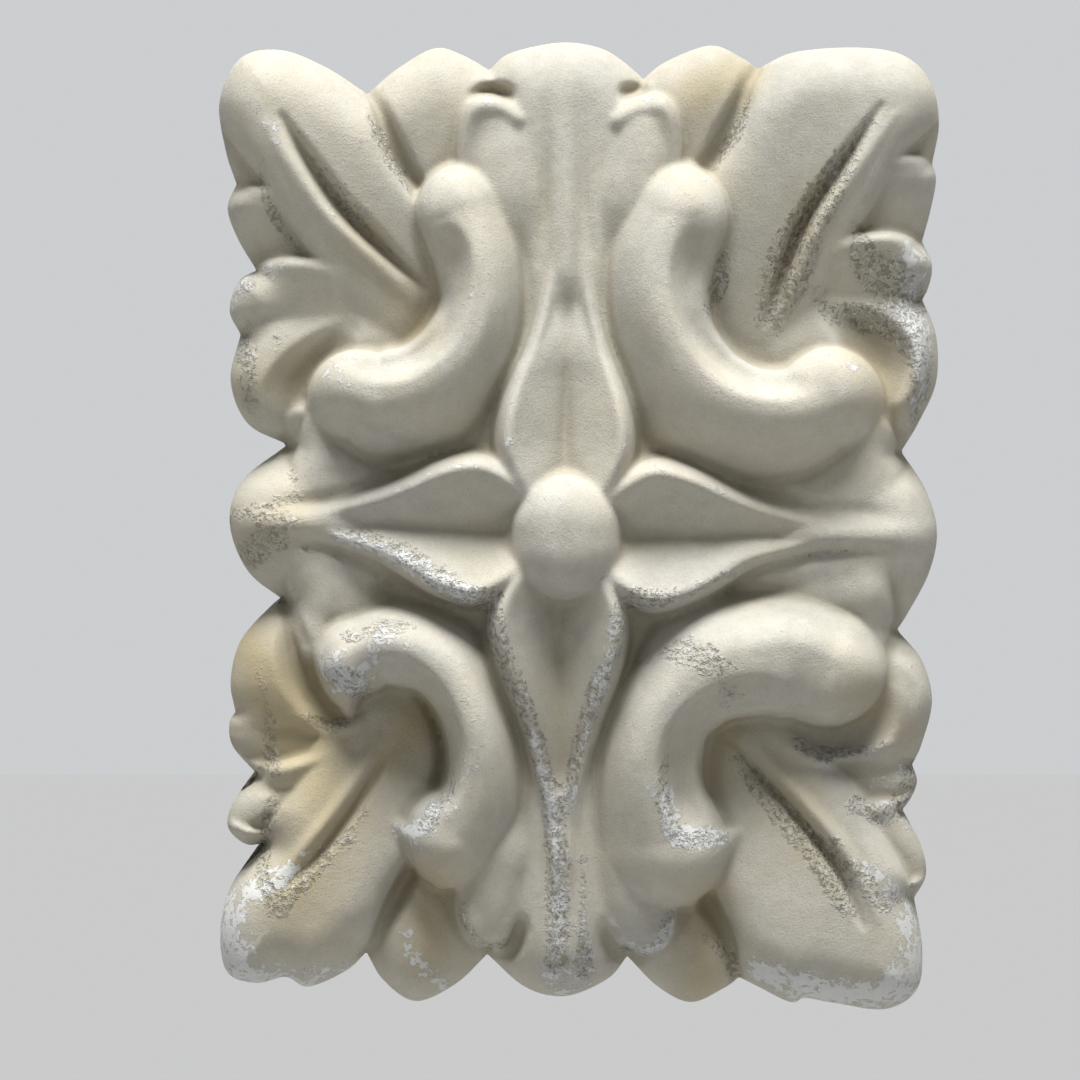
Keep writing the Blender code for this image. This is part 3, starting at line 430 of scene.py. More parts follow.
def carve_scrolls(relief):
    """Four C-shaped scrolls, their cups, and the hollow inside the crest of the upper two."""
    foot = 17
    for path, left, right in (
        (((-22.6, 62.2), (-19.8, 52.8), (-18.4, 43.2), (-21.8, 34.8), (-29.4, 28.2), (-37.8, 25), (-44, 26)),
         (10, 10, 9, 12, 16, 13, 11), (10, 9.2, 9.8, 10, 9.3, 10, 9)),
        (((49.4, 24.6), (41.2, 22.4), (32.2, 23.6), (23.5, 28), (17.8, 35.6), (15.2, 44.2), (15.6, 52.8),
          (18.6, 60.8)),
         (11.5, 14, 17, 19, 14, 12, 12, 12), (11, 9, 8.6, 9.7, 10, 10.8, 11.2, 11)),
        (((15.2, -62.4), (13.2, -52.8), (13.2, -43.8), (16.6, -34.8), (24.2, -27.4), (33.2, -24),
          (42.2, -23.2), (49.2, -25.8)),
         (13.5, 12, 11, 11.5, 16, 12, 11, 11), (14.5, 12, 11.4, 11.2, 12.7, 14, 15.5, 14)),
        (((-45, -25), (-38.8, -22.4), (-31.8, -23.8), (-25.8, -28.4), (-21.4, -35.8), (-19.4, -44.8),
          (-20.2, -53.8), (-24, -61)),
         (7.5, 8, 10, 12, 9, 9, 10, 10.5), (9, 9.2, 9, 7.7, 7.2, 7.2, 8.4, 11)),
    ):
        relief.add(path, left, (29, 31, 32, 32.5, 32.5, 31, 29), right=right, foot=foot, form=(1.7, 1.1),
                   form_right=(3, 0.5))
    for path, half in (
        (((-26, -62.6), (-30, -61.6), (-33, -60.4), (-35.6, -58.8)), (9.4, 7.4, 4.2, 1.8)),
        (((20, -64.4), (24, -63.4), (27.6, -62), (30.6, -60.4)), (11, 8.6, 5, 2)),
        (((-44, -25.6), (-45.6, -28.6), (-46.2, -32), (-45.8, -35.6)), (8.4, 7.2, 4.8, 1.8)),
    ):
        relief.add(path, half, (28, 27, 25, 21), foot=foot, form=(2, 0.7), soft=2)
    relief.cut_all((
        (((-27, 59), (-25, 53), (-25, 46), (-27, 38.5), (-33, 33), (-41, 31)), (3, 4, 4, 3.5, 3.2, 3),
         (0.5, 4.2, 3.8, 3.2, 3, 0.4)),
        (((23, 59), (22, 52), (21.8, 45), (24.2, 37.2), (30.5, 30.5), (38, 28), (45, 28)),
         (3.5, 4.6, 4.6, 4, 3.6, 3.2, 3), (0.5, 4.2, 4.2, 3.8, 3.6, 3, 0.4)),
        (((23, -60), (20, -53), (19.2, -46), (21, -40.5), (26, -35.5), (34, -33), (41, -34)),
         (4, 4.6, 4.6, 4.4, 4.2, 4, 3), (0.5, 4.4, 4.4, 4, 3.4, 3, 0.4)),
        (((-42, -28.5), (-35, -28.6), (-29, -34), (-25.6, -43), (-26.5, -51), (-29, -55)),
         (3, 3.6, 3.6, 3.6, 3.6, 3), (0.4, 3, 3.4, 3.8, 3.6, 0.4)),
    ), form=(2, 1.6))
    for path in (
        ((-46, 30.6), (-43.8, 31.4), (-36.8, 31), (-30.8, 33.6), (-26.4, 37.6), (-25, 42)),
        ((21.6, 43), (23.4, 37.2), (27.4, 31.8), (33.2, 28.6), (39, 27.6), (45, 27.6)),
    ):
        relief.cut(path, (2, 2.6, 3, 2.8, 2.4), (0, 1.6, 2, 1.2, 0), form=(1.8, 1))


def carve_petals(relief):
    """Each petal is two halves that slope from a ridge near the outer edge to a valley between them."""
    inward = np.array((1.2, 1.5, 1.5, 1.2, 0.8, 0.4, 0.2, 0))
    outer = (4.4, 5, 4.8, 4.4, 3.6, 2.8, 2.2)
    high = (31, 32, 32.5, 31.5, 29, 26, 23, 20)
    for hand, path, inner in (
        (-1, ((3, 3.5), (6.4, 9.2), (8.4, 15.4), (7.9, 21.8), (6, 28.4), (3.6, 35.2), (1.4, 46), (-0.8, 62)),
         (10, 10.5, 10.8, 9.4, 7.2, 5, 3.6)),
        (-1, ((-9.6, -6), (-13.4, -11.8), (-15.7, -18), (-15.2, -24.4), (-12.8, -31.6), (-10, -39),
              (-7.4, -50), (-5, -62)),
         (11, 11.5, 11.8, 10.8, 8, 5, 3.6)),
        (-1, ((-9, 3), (-13.6, 8.8), (-19.6, 11.9), (-26.4, 10.8), (-33, 7.8), (-40, 5), (-48, 3),
              (-56, 1.6)),
         (12, 12.5, 11.8, 9.4, 7, 5, 3.5)),
        (-1, ((3, -6), (7.8, -11.6), (14, -14.6), (20.4, -13.2), (26.6, -9.9), (33.4, -6), (43, -3.8),
              (54, -2.6)),
         (12, 12, 11.2, 8.6, 5.4, 4, 3.2)),
        (1, ((-9, 3.5), (-12.4, 9.6), (-14.3, 16), (-13.6, 22.4), (-11.4, 29), (-8.6, 35.6), (-6, 46),
             (-4.6, 62)),
         (12, 12, 12.2, 10.6, 7.8, 5.2, 3.8)),
        (1, ((2, -6.4), (5.4, -12), (7.1, -18), (6.6, -24.6), (4.8, -31.6), (2.4, -39), (-0.4, -50),
             (-1.8, -62)),
         (10, 10.6, 11, 10, 8, 5.2, 3.6)),
        (1, ((-9.4, -4.6), (-14, -10), (-20.2, -13.1), (-27, -11.4), (-33.4, -7.6), (-40, -4), (-48, -1.8),
             (-56, -0.6)),
         (12, 12.5, 11.8, 9, 6.2, 4, 3)),
        (1, ((4, 3), (8.6, 8), (14.6, 10.9), (21, 9.4), (27.4, 6.4), (34.4, 3.3), (43, 1), (54, -0.6)),
         (12, 12.5, 11.8, 9.6, 6.6, 4.4, 3.2)),
    ):
        inner = [VALLEY_REACH * width for width in inner]
        relief.add_rimmed(hand, beside(path, -hand * inward), outer, inner, high, (2.2, 0.55), (1.25, 1),
                          foot=PETAL_FOOT)
    for path, half, deep in (
        (((-3.2, 3), (-3, 9.4), (-2.95, 15.7), (-2.85, 22), (-2.7, 28.7), (-2.5, 35.4), (-2.3, 46)),
         (8, 9.4, 11.3, 10.7, 8.7, 6.1, 3.6), (5, 8, 9.6, 9, 6.6, 3.4, 0.8)),
        (((-3.8, -6), (-4, -12), (-4.3, -18), (-4.3, -24.5), (-4, -31.6), (-3.8, -39), (-3.9, -50)),
         (7.6, 9.4, 11.4, 10.9, 8.8, 6.2, 3.5), (5, 8, 9.2, 7.8, 5, 2.6, 0.8)),
        (((-8, -0.8), (-13.8, -0.6), (-19.9, -0.6), (-26.7, -0.3), (-33.2, 0.1), (-40, 0.5), (-48, 0.6)),
         (8, 9.8, 12.5, 11.1, 7.7, 4.5, 2.2), (4.5, 7, 8.5, 7.6, 6, 4, 0.6)),
        (((3, -1.5), (8.2, -1.8), (14.3, -1.9), (20.7, -1.9), (27, -1.8), (33.9, -1.4), (43, -1.4)),
         (8, 9.8, 12.7, 11.3, 8.2, 4.7, 2.2), (4.5, 7, 8.5, 7.6, 6, 4, 0.6)),
    ):
        fill, cover = [top - 0.2 for top in high[:len(path)]], [1.12 * width for width in half]
        fill[-2:], cover[-2:] = (25.9, 21), (half[-2], 1.4)
        relief.add(path, cover, fill, foot=PETAL_FOOT, form=(12, 0.5), soft=1)
        relief.cut(path, half, deep, form=(1, 1))


def carve_stalks(relief):
    """The ridge that runs on from each petal's point to the edge, and the valleys beside the level ones."""
    relief.add_all((
        (((-2.3, 43), (-2.5, 48), (-2.7, 56), (-3.1, 76), (-3.2, 101)), (3.8, 4, 3.4, 3.2, 3),
         (20.4, 22.8, 22.7, 20.5, 16)),
        (((-4.6, -50), (-4.8, -62), (-5, -76), (-5.4, -98)), (1.4, 2, 1.8, 1.6), (16.5, 22, 20, 16)),
        (((-1.8, -50), (-2, -62), (-2.2, -76), (-2.4, -98)), (1.4, 2, 1.8, 1.6), (16.5, 21.5, 19.5, 15.5)),
        (((-36, 0.7), (-46, 0.8), (-58, 0.7), (-74, 0.4)), (3, 4.4, 4.8, 4.4), (18, 22.5, 21.4, 18)),
        (((32, -1.4), (44, -1.6), (58, -1.8), (76, -2)), (3, 4.2, 5, 4.6), (18, 22.5, 21.4, 18)),
    ), foot=PETAL_FOOT, form=(2, 0.8), soft=1)
    for path in (
        ((-62, 4.4), (-52, 5.2), (-46.6, 6.6), (-42.6, 8.6), (-38.6, 10.6), (-33, 13.4)),
        ((-58, -3.2), (-50, -3.8), (-45.6, -5.6), (-40.6, -8.2), (-35.6, -11.6), (-28, -16.4)),
        ((30, 9.4), (38, 6.8), (44, 5), (48, 3.8), (54, 3.2), (62, 2.8)),
        ((26, -15.4), (34, -9.4), (40, -6.8), (46, -5.4), (53, -4.6), (61, -4.4)),
    ):
        relief.cut(path, (1, 1.8, 2, 2, 1.6, 1), (0, 1, 1.2, 1.2, 0.8, 0))


def carve_boss(relief):
    """The egg-shaped boss in the middle, which stands highest."""
    relief.add(((-2.8, -3.6), (-2.8, -0.6)), 11.5, DRAWN_DEPTH, foot=22, form=(2.4, 0.5))


def carve(step):
    """The whole front, as a grid of heights."""
    reach = max(abs(v) for lobe in LOBES for point in lobe for v in point) + MARGIN
    relief = Relief(reach, step)
    for part in (carve_ground, carve_lobes, carve_corner_leaves, carve_scoops, carve_veins, carve_creases,
                 carve_middle_leaves, carve_folds, carve_scrolls, carve_petals, carve_stalks, carve_boss,
                 carve_notches):
        part(relief)
    relief.soften(SOFTNESS)
    return relief


def drawn_outline():
    """The scalloped edge as a closed line of drawing millimetres."""
    ends = LOBES[1:] + LOBES[:1]
    return np.vstack([curve(lobe + (after[0],), OUTLINE_SPAN)[:-1] for lobe, after in zip(LOBES, ends)])


def fit_to_outline(u, v, line):
    """Bend a square sheet, u and v from -1 to 1, so that its border follows the outline."""
    u, v = (w + EDGE_CROWDING * w * (1 - w * w) for w in (u, v))
    middle = 0.5 * (line.max(axis=0) + line.min(axis=0))
    half = 0.5 * (line.max(axis=0) - line.min(axis=0))
    closed = np.vstack([line, line[:1]])[::-1] - middle
    bearing = np.unwrap(np.arctan2(closed[:, 1], closed[:, 0]))
    run = np.append(0, np.cumsum(np.hypot(*np.diff(closed, axis=0).T)))
    place = 0.5 * (bearing + bearing[0] + 2 * math.pi * run / run[-1])
    toward = np.arctan2(half[1] * v, half[0] * u)
    toward = place[0] + np.mod(toward - place[0], 2 * math.pi)
    ring = np.maximum(np.abs(u), np.abs(v))
    hold = ring**EDGE_HOLD
    bent = []
    for axis, even in ((0, half[0] * u), (1, half[1] * v)):
        border = np.interp(toward, place, closed[:, axis])
        bent.append(middle[axis] + even * EVEN_STRETCH * (1 - hold) + border * ring * hold)
    return bent


def edge_distance(x, z, line, reach):
    """Distance of each point to the closed line, no more than reach."""
    far = np.full(x.shape, reach)
    order = np.argsort(x)
    sorted_x = x[order]
    for (ax, az), (bx, bz) in zip(line, np.roll(line, -1, axis=0)):
        first = np.searchsorted(sorted_x, min(ax, bx) - reach)
        last = np.searchsorted(sorted_x, max(ax, bx) + reach)
        near = order[first:last]
        near = near[np.abs(z[near] - 0.5 * (az + bz)) < reach + 0.5 * abs(az - bz)]
        dx, dz = bx - ax, bz - az
        t = np.clip(((x[near] - ax) * dx + (z[near] - az) * dz) / (dx * dx + dz * dz), 0, 1)
        far[near] = np.minimum(far[near], np.hypot(x[near] - ax - t * dx, z[near] - az - t * dz))
    return far


def front_surface(x, z, line, relief):
    """Where each drawn point of the front lies, in metres, with its edge rounded down to the wall."""
    low, high = line.min(axis=0), line.max(axis=0)
    middle = 0.5 * (low + high)
    scale = np.array([WIDTH, HEIGHT]) / (high - low)
    depth = relief.at(x, z) * DEPTH / DRAWN_DEPTH
    x, z = (x - middle[0]) * scale[0], (z - middle[1]) * scale[1]
    inset = edge_distance(x, z, (line - middle) * scale, EDGE_REACH)
    return np.column_stack((x, -WALL - (depth - WALL) * swell(1 - inset / EDGE_REACH, *EDGE_FORM), z))


# Widths over which a point is compared with what is round it, in millimetres, and the weight of each. The
# result paints shade in the hollows and keeps chalk out of them.
HOLLOW_SCALES = ((1.2, 0.5), (3.0, 0.8), (6.0, 0.8))

# Spacing and softness of the painted layers, in millimetres.
LAYER_STEP = 0.5
LAYER_SOFTNESS = 0.6

# Rows of pits, then places of chalk and ochre, as (path, half-width, strength), in drawn millimetres.
PIT_ROWS = (
    (((57, 80), (51, 70), (45, 60), (41, 50), (37.5, 40)), (2, 4, 5, 6, 4), (0.4, 0.8, 0.9, 0.9, 0.6)),
    (((-56, 78), (-50, 68), (-44, 61), (-36, 53)), (2.5, 3.5, 4, 3), (0.3, 0.5, 0.5, 0.3)),
    (((27, 58), (28, 50), (25.6, 43), (25, 37)), (1.5, 2.4, 2.2, 1.5), (0.3, 0.8, 0.6, 0.2)),
    (((-65.8, 40), (-66, 30), (-64, 20)), (2, 3, 2), (0.5, 0.7, 0.4)),
    (((-59.8, 37), (-60, 28)), 1.6, (0.6, 0.3)),
    (((-63.4, 77), (-62.2, 65), (-57.6, 57), (-55, 53)), 1.6, (0.3, 0.7, 0.7, 0.5)),
    (((-70, 45), (-64, 49.5), (-56, 51)), 2.4, (0.5, 0.5, 0.2)),
    (((55, 60), (56, 54), (60, 50), (66, 45)), (2, 4, 6, 5), (0.5, 0.8, 0.9, 0.9)),
    (((47, 46), (52, 42), (60, 41), (67, 35), (67, 20)), (3, 4, 4, 4, 3), (0.6, 0.6, 0.8, 0.8, 0.5)),
    (((-46.8, -0.8), (-38.8, -2.8), (-33.8, -5.8), (-26, -11.6), (-19.8, -14)), (2, 2, 2.4, 3, 3),
     (0.6, 0.8, 0.8, 0.9, 0.9)),
    (((-16.8, -13), (-16, -23), (-10.6, -35.8), (-7.6, -46.8), (-5.2, -55.6), (-4.4, -66), (-4.4, -86)),
     (2.4, 2.6, 2.2, 2.2, 2.6, 3, 3), (0.8, 1, 1, 1, 1, 0.9, 0.9)),
    (((7.4, -13), (7, -23), (3.6, -31), (-0.4, -44.6), (-2.8, -56)), (1.8, 2.2, 2.4, 2, 1.8),
     (0.4, 0.7, 0.8, 0.8, 0.8)),
    (((0.6, -65), (0.7, -76), (1, -88)), (1, 1.2, 2.6), (0.7, 0.7, 0.8)),
    (((-46, -22), (-38, -19.6), (-29, -20.6)), (2, 2.4, 2), (0.6, 0.7, 0.3)),
    (((-48, -29), (-43, -32)), 3.2, 0.8),
    (((-27, -40), (-25, -50), (-30, -58)), (2, 2.4, 3), (0.2, 0.4, 0.7)),
    (((17, -44), (16.4, -54), (20, -61), (28.5, -61)), (1.5, 2, 2, 2), (0.4, 0.8, 0.9, 0.7)),
    (((13, -26), (22, -25), (30, -31), (26, -35)), (2.5, 4, 4, 2), (0.3, 0.7, 0.5, 0.4)),
    (((42.2, -42.4), (47.2, -44.8), (52, -45), (60.2, -43.2)), 1.8, (0.5, 0.9, 0.8, 0.5)),
    (((30, -44), (37, -53), (46, -64), (53, -76)), (1.5, 3, 3.4, 2.5), (0.3, 0.8, 0.9, 0.8)),
    (((54, -55), (62, -57), (67, -48)), 2.6, (0.8, 0.9, 0.6)),
    (((50, -62), (56, -70), (60, -74), (67, -72)), (2, 2.6, 2.4, 2), (0.5, 0.8, 0.8, 0.5)),
    (((-54.8, -37.8), (-49, -39.4), (-45.4, -38)), 1.6, (0.5, 0.9, 0.5)),
    (((-64.2, -27.8), (-62.2, -37.8), (-60.8, -46.8), (-58.8, -50.8)), 2.2, (0.3, 0.6, 0.9, 0.4)),
    (((-60.2, -52.8), (-62.2, -60.8), (-62.8, -68.8), (-60, -75)), 2.2, (0.5, 0.7, 0.7, 0.9)),
    (((-60, -75), (-52, -67), (-45, -60), (-40, -52)), (3, 2.4, 2.4, 1.6), (0.9, 0.7, 0.5, 0.2)),
    (((-42.4, 84), (-38.4, 74.2), (-33, 65)), 1.8, (0.3, 0.7, 0.5)),
    (((34, 86), (31, 78), (26, 70)), 1.8, (0.4, 0.7, 0.5)),
    (((-23.6, -72), (-22, -80), (-18, -83.6), (-14, -82)), 1.6, (0.4, 0.8, 0.8, 0.6)),
    (((18, -76), (15, -83), (9, -84)), 1.6, (0.6, 0.9, 0.7)),
    (((11, -14), (20, -13.6), (30, -9)), (3, 2.4, 2), (0.9, 0.5, 0.4)),
    (((24, -80), (30, -86), (31, -92)), 2, (0.4, 0.8, 0.6)),
    (((-58, 13), (-56, 8)), 2, 0.4),
    (((-62, -1), (-66, -6), (-60, -3)), 4, 0.6),
    (((-70, 2), (-62, 2.6), (-55, 1)), 2.4, (0.6, 0.7, 0.4)),
    (((-60, 5.4), (-50, 6.4), (-43, 9)), 1.2, (0.4, 0.6, 0.3)),
    (((-60, -4.4), (-50, -5), (-43, -8)), 1.2, (0.4, 0.6, 0.3)),
    (((58, -5), (48, -5.4), (40, -7.4)), 1.2, (0.4, 0.6, 0.3)),
)

CHALK_PLACES = (
    (((-71, -74), (-68, -90), (-58, -91), (-48, -88)), (6, 9, 7, 4), (0.7, 1, 0.8, 0.5)),
    (((-64, -72), (-57, -68), (-50, -62)), (4, 3, 2), (0.9, 0.8, 0.4)),
    (((-35, -78), (-32, -86), (-26, -92)), (1.5, 3, 3), (0.6, 0.8, 0.7)),
    (((34, -87), (44, -91), (56, -93), (66, -90)), (3, 5, 6, 8), (0.8, 1, 1, 0.9)),
    (((67, -90), (64, -76), (56, -66)), (6, 4, 3), (0.9, 0.7, 0.6)),
    (((60, -52), (66, -48), (66, -60)), (5, 4, 3), (0.7, 0.7, 0.5)),
    (((66, 52), (66, 42), (68, 30), (66, 20)), (5, 5, 4, 3), (0.8, 0.9, 0.7, 0.5)),
    (((-9.6, -40), (-5.2, -55.6), (-4.4, -72), (-4, -92)), (2, 2.6, 3, 5), (0.8, 0.9, 0.8, 0.7)),
    (((7, -20), (3.6, -31), (-0.4, -44.6), (-2.8, -56)), (2, 2.2, 2, 1.8), (0.4, 0.7, 0.7, 0.7)),
    (((0.6, -65), (0.7, -76), (1, -90)), (1, 1.4, 4), (0.7, 0.7, 0.7)),
    (((-50, -27), (-44, -31), (-38, -20)), (3.4, 3, 3), (0.6, 0.6, 0.4)),
    (((-36, -60), (-30, -58), (-25, -50)), (4, 3, 2.4), (0.8, 0.6, 0.3)),
    (((18, -52), (19, -60), (28, -61)), (3, 3.4, 3), (0.8, 1, 0.8)),
    (((18, -78), (15, -84), (8, -84)), 2, (0.9, 0.9, 0.7)),
    (((-48, -1), (-34, -6), (-22, -14)), (2.4, 2.6, 3.4), (0.6, 0.7, 0.8)),
    (((-60, 78), (-66, 86)), (5, 6), (0.3, 0.2)),
    (((-70, 44), (-66, 48), (-60, 50)), 3, (0.6, 0.5, 0.3)),
)

OCHRE_PLACES = (
    (((-68, -20), (-62, -30), (-54, -42), (-50, -58), (-56, -74)), (9, 13, 16, 18, 14), (0.9, 1, 1, 1, 0.8)),
    (((-30, -70), (-30, -84)), (10, 9), (0.8, 0.7)),
    (((25, -74), (24, -90)), 9, (0.6, 0.8)),
    (((40, -50), (50, -66)), (11, 9), 0.5),
    (((24, 86), (32, 90)), 8, 0.8),
    (((46, 66), (39, 46)), (7, 9), 0.5),
    (((-42, 56), (-36, 44)), (9, 8), 0.45),
    (((58, 34), (62, 24)), (9, 8), 0.5),
    (((56, -34), (64, -40)), (9, 7), 0.6),
    (((-58, 30), (-66, 28)), (9, 6), 0.4),
    (((-56, 4), (-66, -4)), (8, 9), 0.4),
    (((-4, -30), (-3, -44)), (8, 5), 0.4),
    (((-34, 46), (-30, 38)), (8, 6), 0.5),
    (((-38, -46), (-33, -40)), (10, 8), 0.9),
    (((30, -42), (27, -50)), 6, 0.6),
)


class Stone:
    """What the weather did to the front, and how deep its hollows lie for the painted shade, as grids over
    the drawing that are read at any point.
    """

    def __init__(self, relief):
        self.layers = {}
        for name, places, form in (
            ("pitted", PIT_ROWS, (2, 0.6)),
            ("chalk", CHALK_PLACES, (1.6, 0.8)),
            ("ochre", OCHRE_PLACES, (1.4, 1.2)),
        ):
            layer = Relief(relief.reach, LAYER_STEP, level=0.0)
            layer.add_all(places, foot=0.0, form=form)
            layer.soften(LAYER_SOFTNESS)
            self.layers[name] = layer
        self.layers["hollow"] = self.hollows(relief)

    @staticmethod
    def hollows(relief):
        """How far the surface lies below what is round it, narrow grooves and wide hollows alike; the finish
        paints shade in the hollows by it.
        """
        layer = Relief(relief.reach, relief.step, level=0.0)
        for reach, weight in HOLLOW_SCALES:
            wide = Relief(relief.reach, relief.step)
            wide.high = relief.high.copy()
            wide.soften(reach)
            layer.high += weight * (wide.high - relief.high) / reach
        return layer

    def mark(self, mesh, x, z, count):
        """Store each layer on the mesh's points. Points past the front's count take nought."""
        for name, layer in self.layers.items():
            values = np.zeros(count, np.float32)
            values[:len(x)] = layer.at(x, z)
            mesh.attributes.new(name, "FLOAT", "POINT").data.foreach_set("value", values)


def make_casting(sizes):
    """The rosette's body: a fine sheet pressed to the relief and turned back to a flat back."""
    line = drawn_outline()
    relief = carve(sizes.carving_step * 1000)
    bm = bmesh.new()
    bmesh.ops.create_grid(bm, x_segments=sizes.columns, y_segments=sizes.rows, size=1.0)
    u, v, _ = np.array([vertex.co for vertex in bm.verts]).T
    x, z = fit_to_outline(u, v, line)
    places = np.clip(front_surface(x, z, line, relief), CAD_LOW, CAD_HIGH)
    for vertex, place in zip(bm.verts, places):
        vertex.co = place
    border = [edge for edge in bm.edges if edge.is_boundary]
    turned = bmesh.ops.extrude_edge_only(bm, edges=border)["geom"]
    for vertex in (item for item in turned if isinstance(item, bmesh.types.BMVert)):
        vertex.co.y = 0
    bmesh.ops.contextual_create(bm, geom=[edge for edge in bm.edges if edge.is_boundary])
    bmesh.ops.recalc_face_normals(bm, faces=bm.faces)
    mesh = bpy.data.meshes.new("rosette_casting")
    bm.to_mesh(mesh)
    bm.free()
    mesh.shade_smooth()
    mesh.set_sharp_from_angle(angle=CREASE_ANGLE)
    Stone(relief).mark(mesh, x, z, len(mesh.vertices))
    casting = bpy.data.objects.new("rosette_casting", mesh)
    bpy.context.scene.collection.objects.link(casting)
    return casting


class Shade:
    """A node's output that takes part in sums, so that shader maths reads as plain expressions."""

    def __init__(self, finish, socket):
        self.finish, self.socket = finish, socket

    def maths(self, operation, *values):
        """A Math node on the values, in their order."""
        return self.finish.node("ShaderNodeMath", {"operation": operation}, dict(enumerate(values)))

    def __add__(self, other):
        return self.maths("ADD", self, other)

    def __radd__(self, other):
        return self.maths("ADD", other, self)

    def __sub__(self, other):
        return self.maths("SUBTRACT", self, other)

    def __rsub__(self, other):
        return self.maths("SUBTRACT", other, self)

    def __mul__(self, other):
        return self.maths("MULTIPLY", self, other)

    def __rmul__(self, other):
        return self.maths("MULTIPLY", other, self)

    def step(self, start, end):
        """Smoothly from 0 at the start to 1 at the end."""
        values = {"Value": self, "From Min": start, "From Max": end}
        return self.finish.node("ShaderNodeMapRange", {"interpolation_type": "SMOOTHSTEP"}, values)

    def upto(self, limit):
        """This value, but no more than the limit."""
        return self.maths("MINIMUM", self, limit)

    def atleast(self, limit):
        """This value, but no less than the limit."""
        return self.maths("MAXIMUM", self, limit)


class Finish:
    """The nodes of a material or a world."""

    def __init__(self, owner):
        owner.use_nodes = True
        self.owner = owner
        self.tree = owner.node_tree
        self.shader = self.tree.nodes.get("Principled BSDF")

    def node(self, kind, settings=None, values=None, output=0):
        """Add a node: its settings first, then its sockets' values or links. Gives one output."""
        node = self.tree.nodes.new(kind)
        for key, setting in (settings or {}).items():
            setattr(node, key, setting)
        for key, value in (values or {}).items():
            self.feed(node.inputs[key], value)
        return Shade(self, node.outputs[output])

    def feed(self, socket, value):
        """Link a shade to the socket, or set the socket's own value."""
        if isinstance(value, Shade):
            self.tree.links.new(value.socket, socket)
        else:
            socket.default_value = value

    def attribute(self, name):
        """A layer of marks stored on the mesh."""
        return self.node("ShaderNodeAttribute", {"attribute_name": name}, output="Fac")

    def noise(self, place, size, detail, rough):
        """Cloudy noise whose blots are about size across, in metres."""
        values = {"Vector": place, "Scale": 1 / size, "Detail": detail, "Roughness": rough}
        return self.node("ShaderNodeTexNoise", None, values)

    def blend(self, share, first, second):
        """From the first colour at share 0 to the second at share 1."""
        return self.node("ShaderNodeMix", {"data_type": "RGBA"}, {0: share, 6: first, 7: second}, output=2)


# Noises of the stone: the size of their blots in metres, their detail and their roughness.
NOISES = (
    (0.03, 4, 0.6),  # cloud
    (0.004, 5, 0.65),  # mottle
    (0.0016, 4, 0.7),  # crumb
    (0.0004, 3, 0.8),  # grain
    (0.0016, 2, 0.5),  # wobble
    (0.0013, 3, 0.6),  # lumps
)

# Heights that grain, wobble, mottle and chalk give the surface, in metres.
GRAIN_HEIGHT = 0.00016
WOBBLE_HEIGHT = 0.00006
MOTTLE_HEIGHT = 0.0002
CHALK_HEIGHT = 0.00012

# The stone's roughness where it is clean, how much it shines, and the floor's roughness.
STONE_ROUGHNESS = 0.86
STONE_SPECULAR = 0.25
FLOOR_ROUGHNESS = 0.9


def weathered_stone(colours):
    """Cast stone: cream skin, ochre-stained leaves, ochre and dark painted shade in the hollows, chalk on
    worn edges, rows of pits and a fine grain.
    """
    finish = Finish(bpy.data.materials.new("weathered_cast_stone"))
    place = finish.node("ShaderNodeTexCoord", output="Object")
    hollow, pitted, chalk, ochre = (finish.attribute(n) for n in ("hollow", "pitted", "chalk", "ochre"))

    cloud, mottle, crumb, grain, wobble, lumps = (finish.noise(place, *kind) for kind in NOISES)
    zone = (pitted + (mottle - 0.5) * 1.3 - 0.3).step(0.0, 0.35)
    pit = zone * (0.47 - lumps).step(0.0, 0.09)
    knob = zone * (lumps - 0.52).step(0.0, 0.1)

    skin = finish.blend(cloud.step(0.35, 0.65), colours.skin_cool, colours.skin_warm)
    skin = finish.blend(mottle.step(0.3, 0.75) * 0.5, skin, colours.skin_pale)
    # Ochre on the listed ochre places, which is real staining, and in the hollows by their depth, which is
    # painted shade.
    ochre_and_hollow_shade = ((hollow * 0.15).atleast(0.0) + ochre * (0.5 + cloud)).upto(1.0)
    skin = finish.blend(ochre_and_hollow_shade * 0.8, skin, colours.ochre)
    # Painted shade: the deeper hollows are darkened towards the hollow colour.
    dark_hollow_shade = (hollow - 0.3 + (mottle - 0.5) * 0.3).step(0.0, 0.7)
    skin = finish.blend(dark_hollow_shade * 0.25, skin, colours.hollow)
    speck = (grain - 0.5).step(0.0, 0.2)
    skin = finish.blend(speck * 0.25, skin, colours.hollow)
    worn = (chalk * 0.9 + (crumb - 0.5) * 2.2 + (mottle - 0.5) * 1.2 - hollow * 0.25 - 0.56).step(0.0, 0.12)
    skin = finish.blend(worn * 0.75, skin, colours.chalk)
    skin = finish.blend(pit * 0.5, skin, colours.pit)
    skin = finish.blend(knob * 0.35, skin, colours.chalk)
    finish.feed(finish.shader.inputs["Base Color"], skin)
    finish.feed(finish.shader.inputs["Roughness"], STONE_ROUGHNESS - worn * 0.06 + pit * 0.1)
    finish.shader.inputs["Specular IOR Level"].default_value = STONE_SPECULAR

    height = (grain - 0.5) * GRAIN_HEIGHT + (wobble - 0.5) * WOBBLE_HEIGHT + (mottle - 0.5) * MOTTLE_HEIGHT
    height = height + worn * CHALK_HEIGHT + (knob - pit) * colours.pit_depth
    bump = finish.node("ShaderNodeBump", None, {"Strength": 1.0, "Distance": 1.0, "Height": height})
    finish.feed(finish.shader.inputs["Normal"], bump)
    return finish.owner


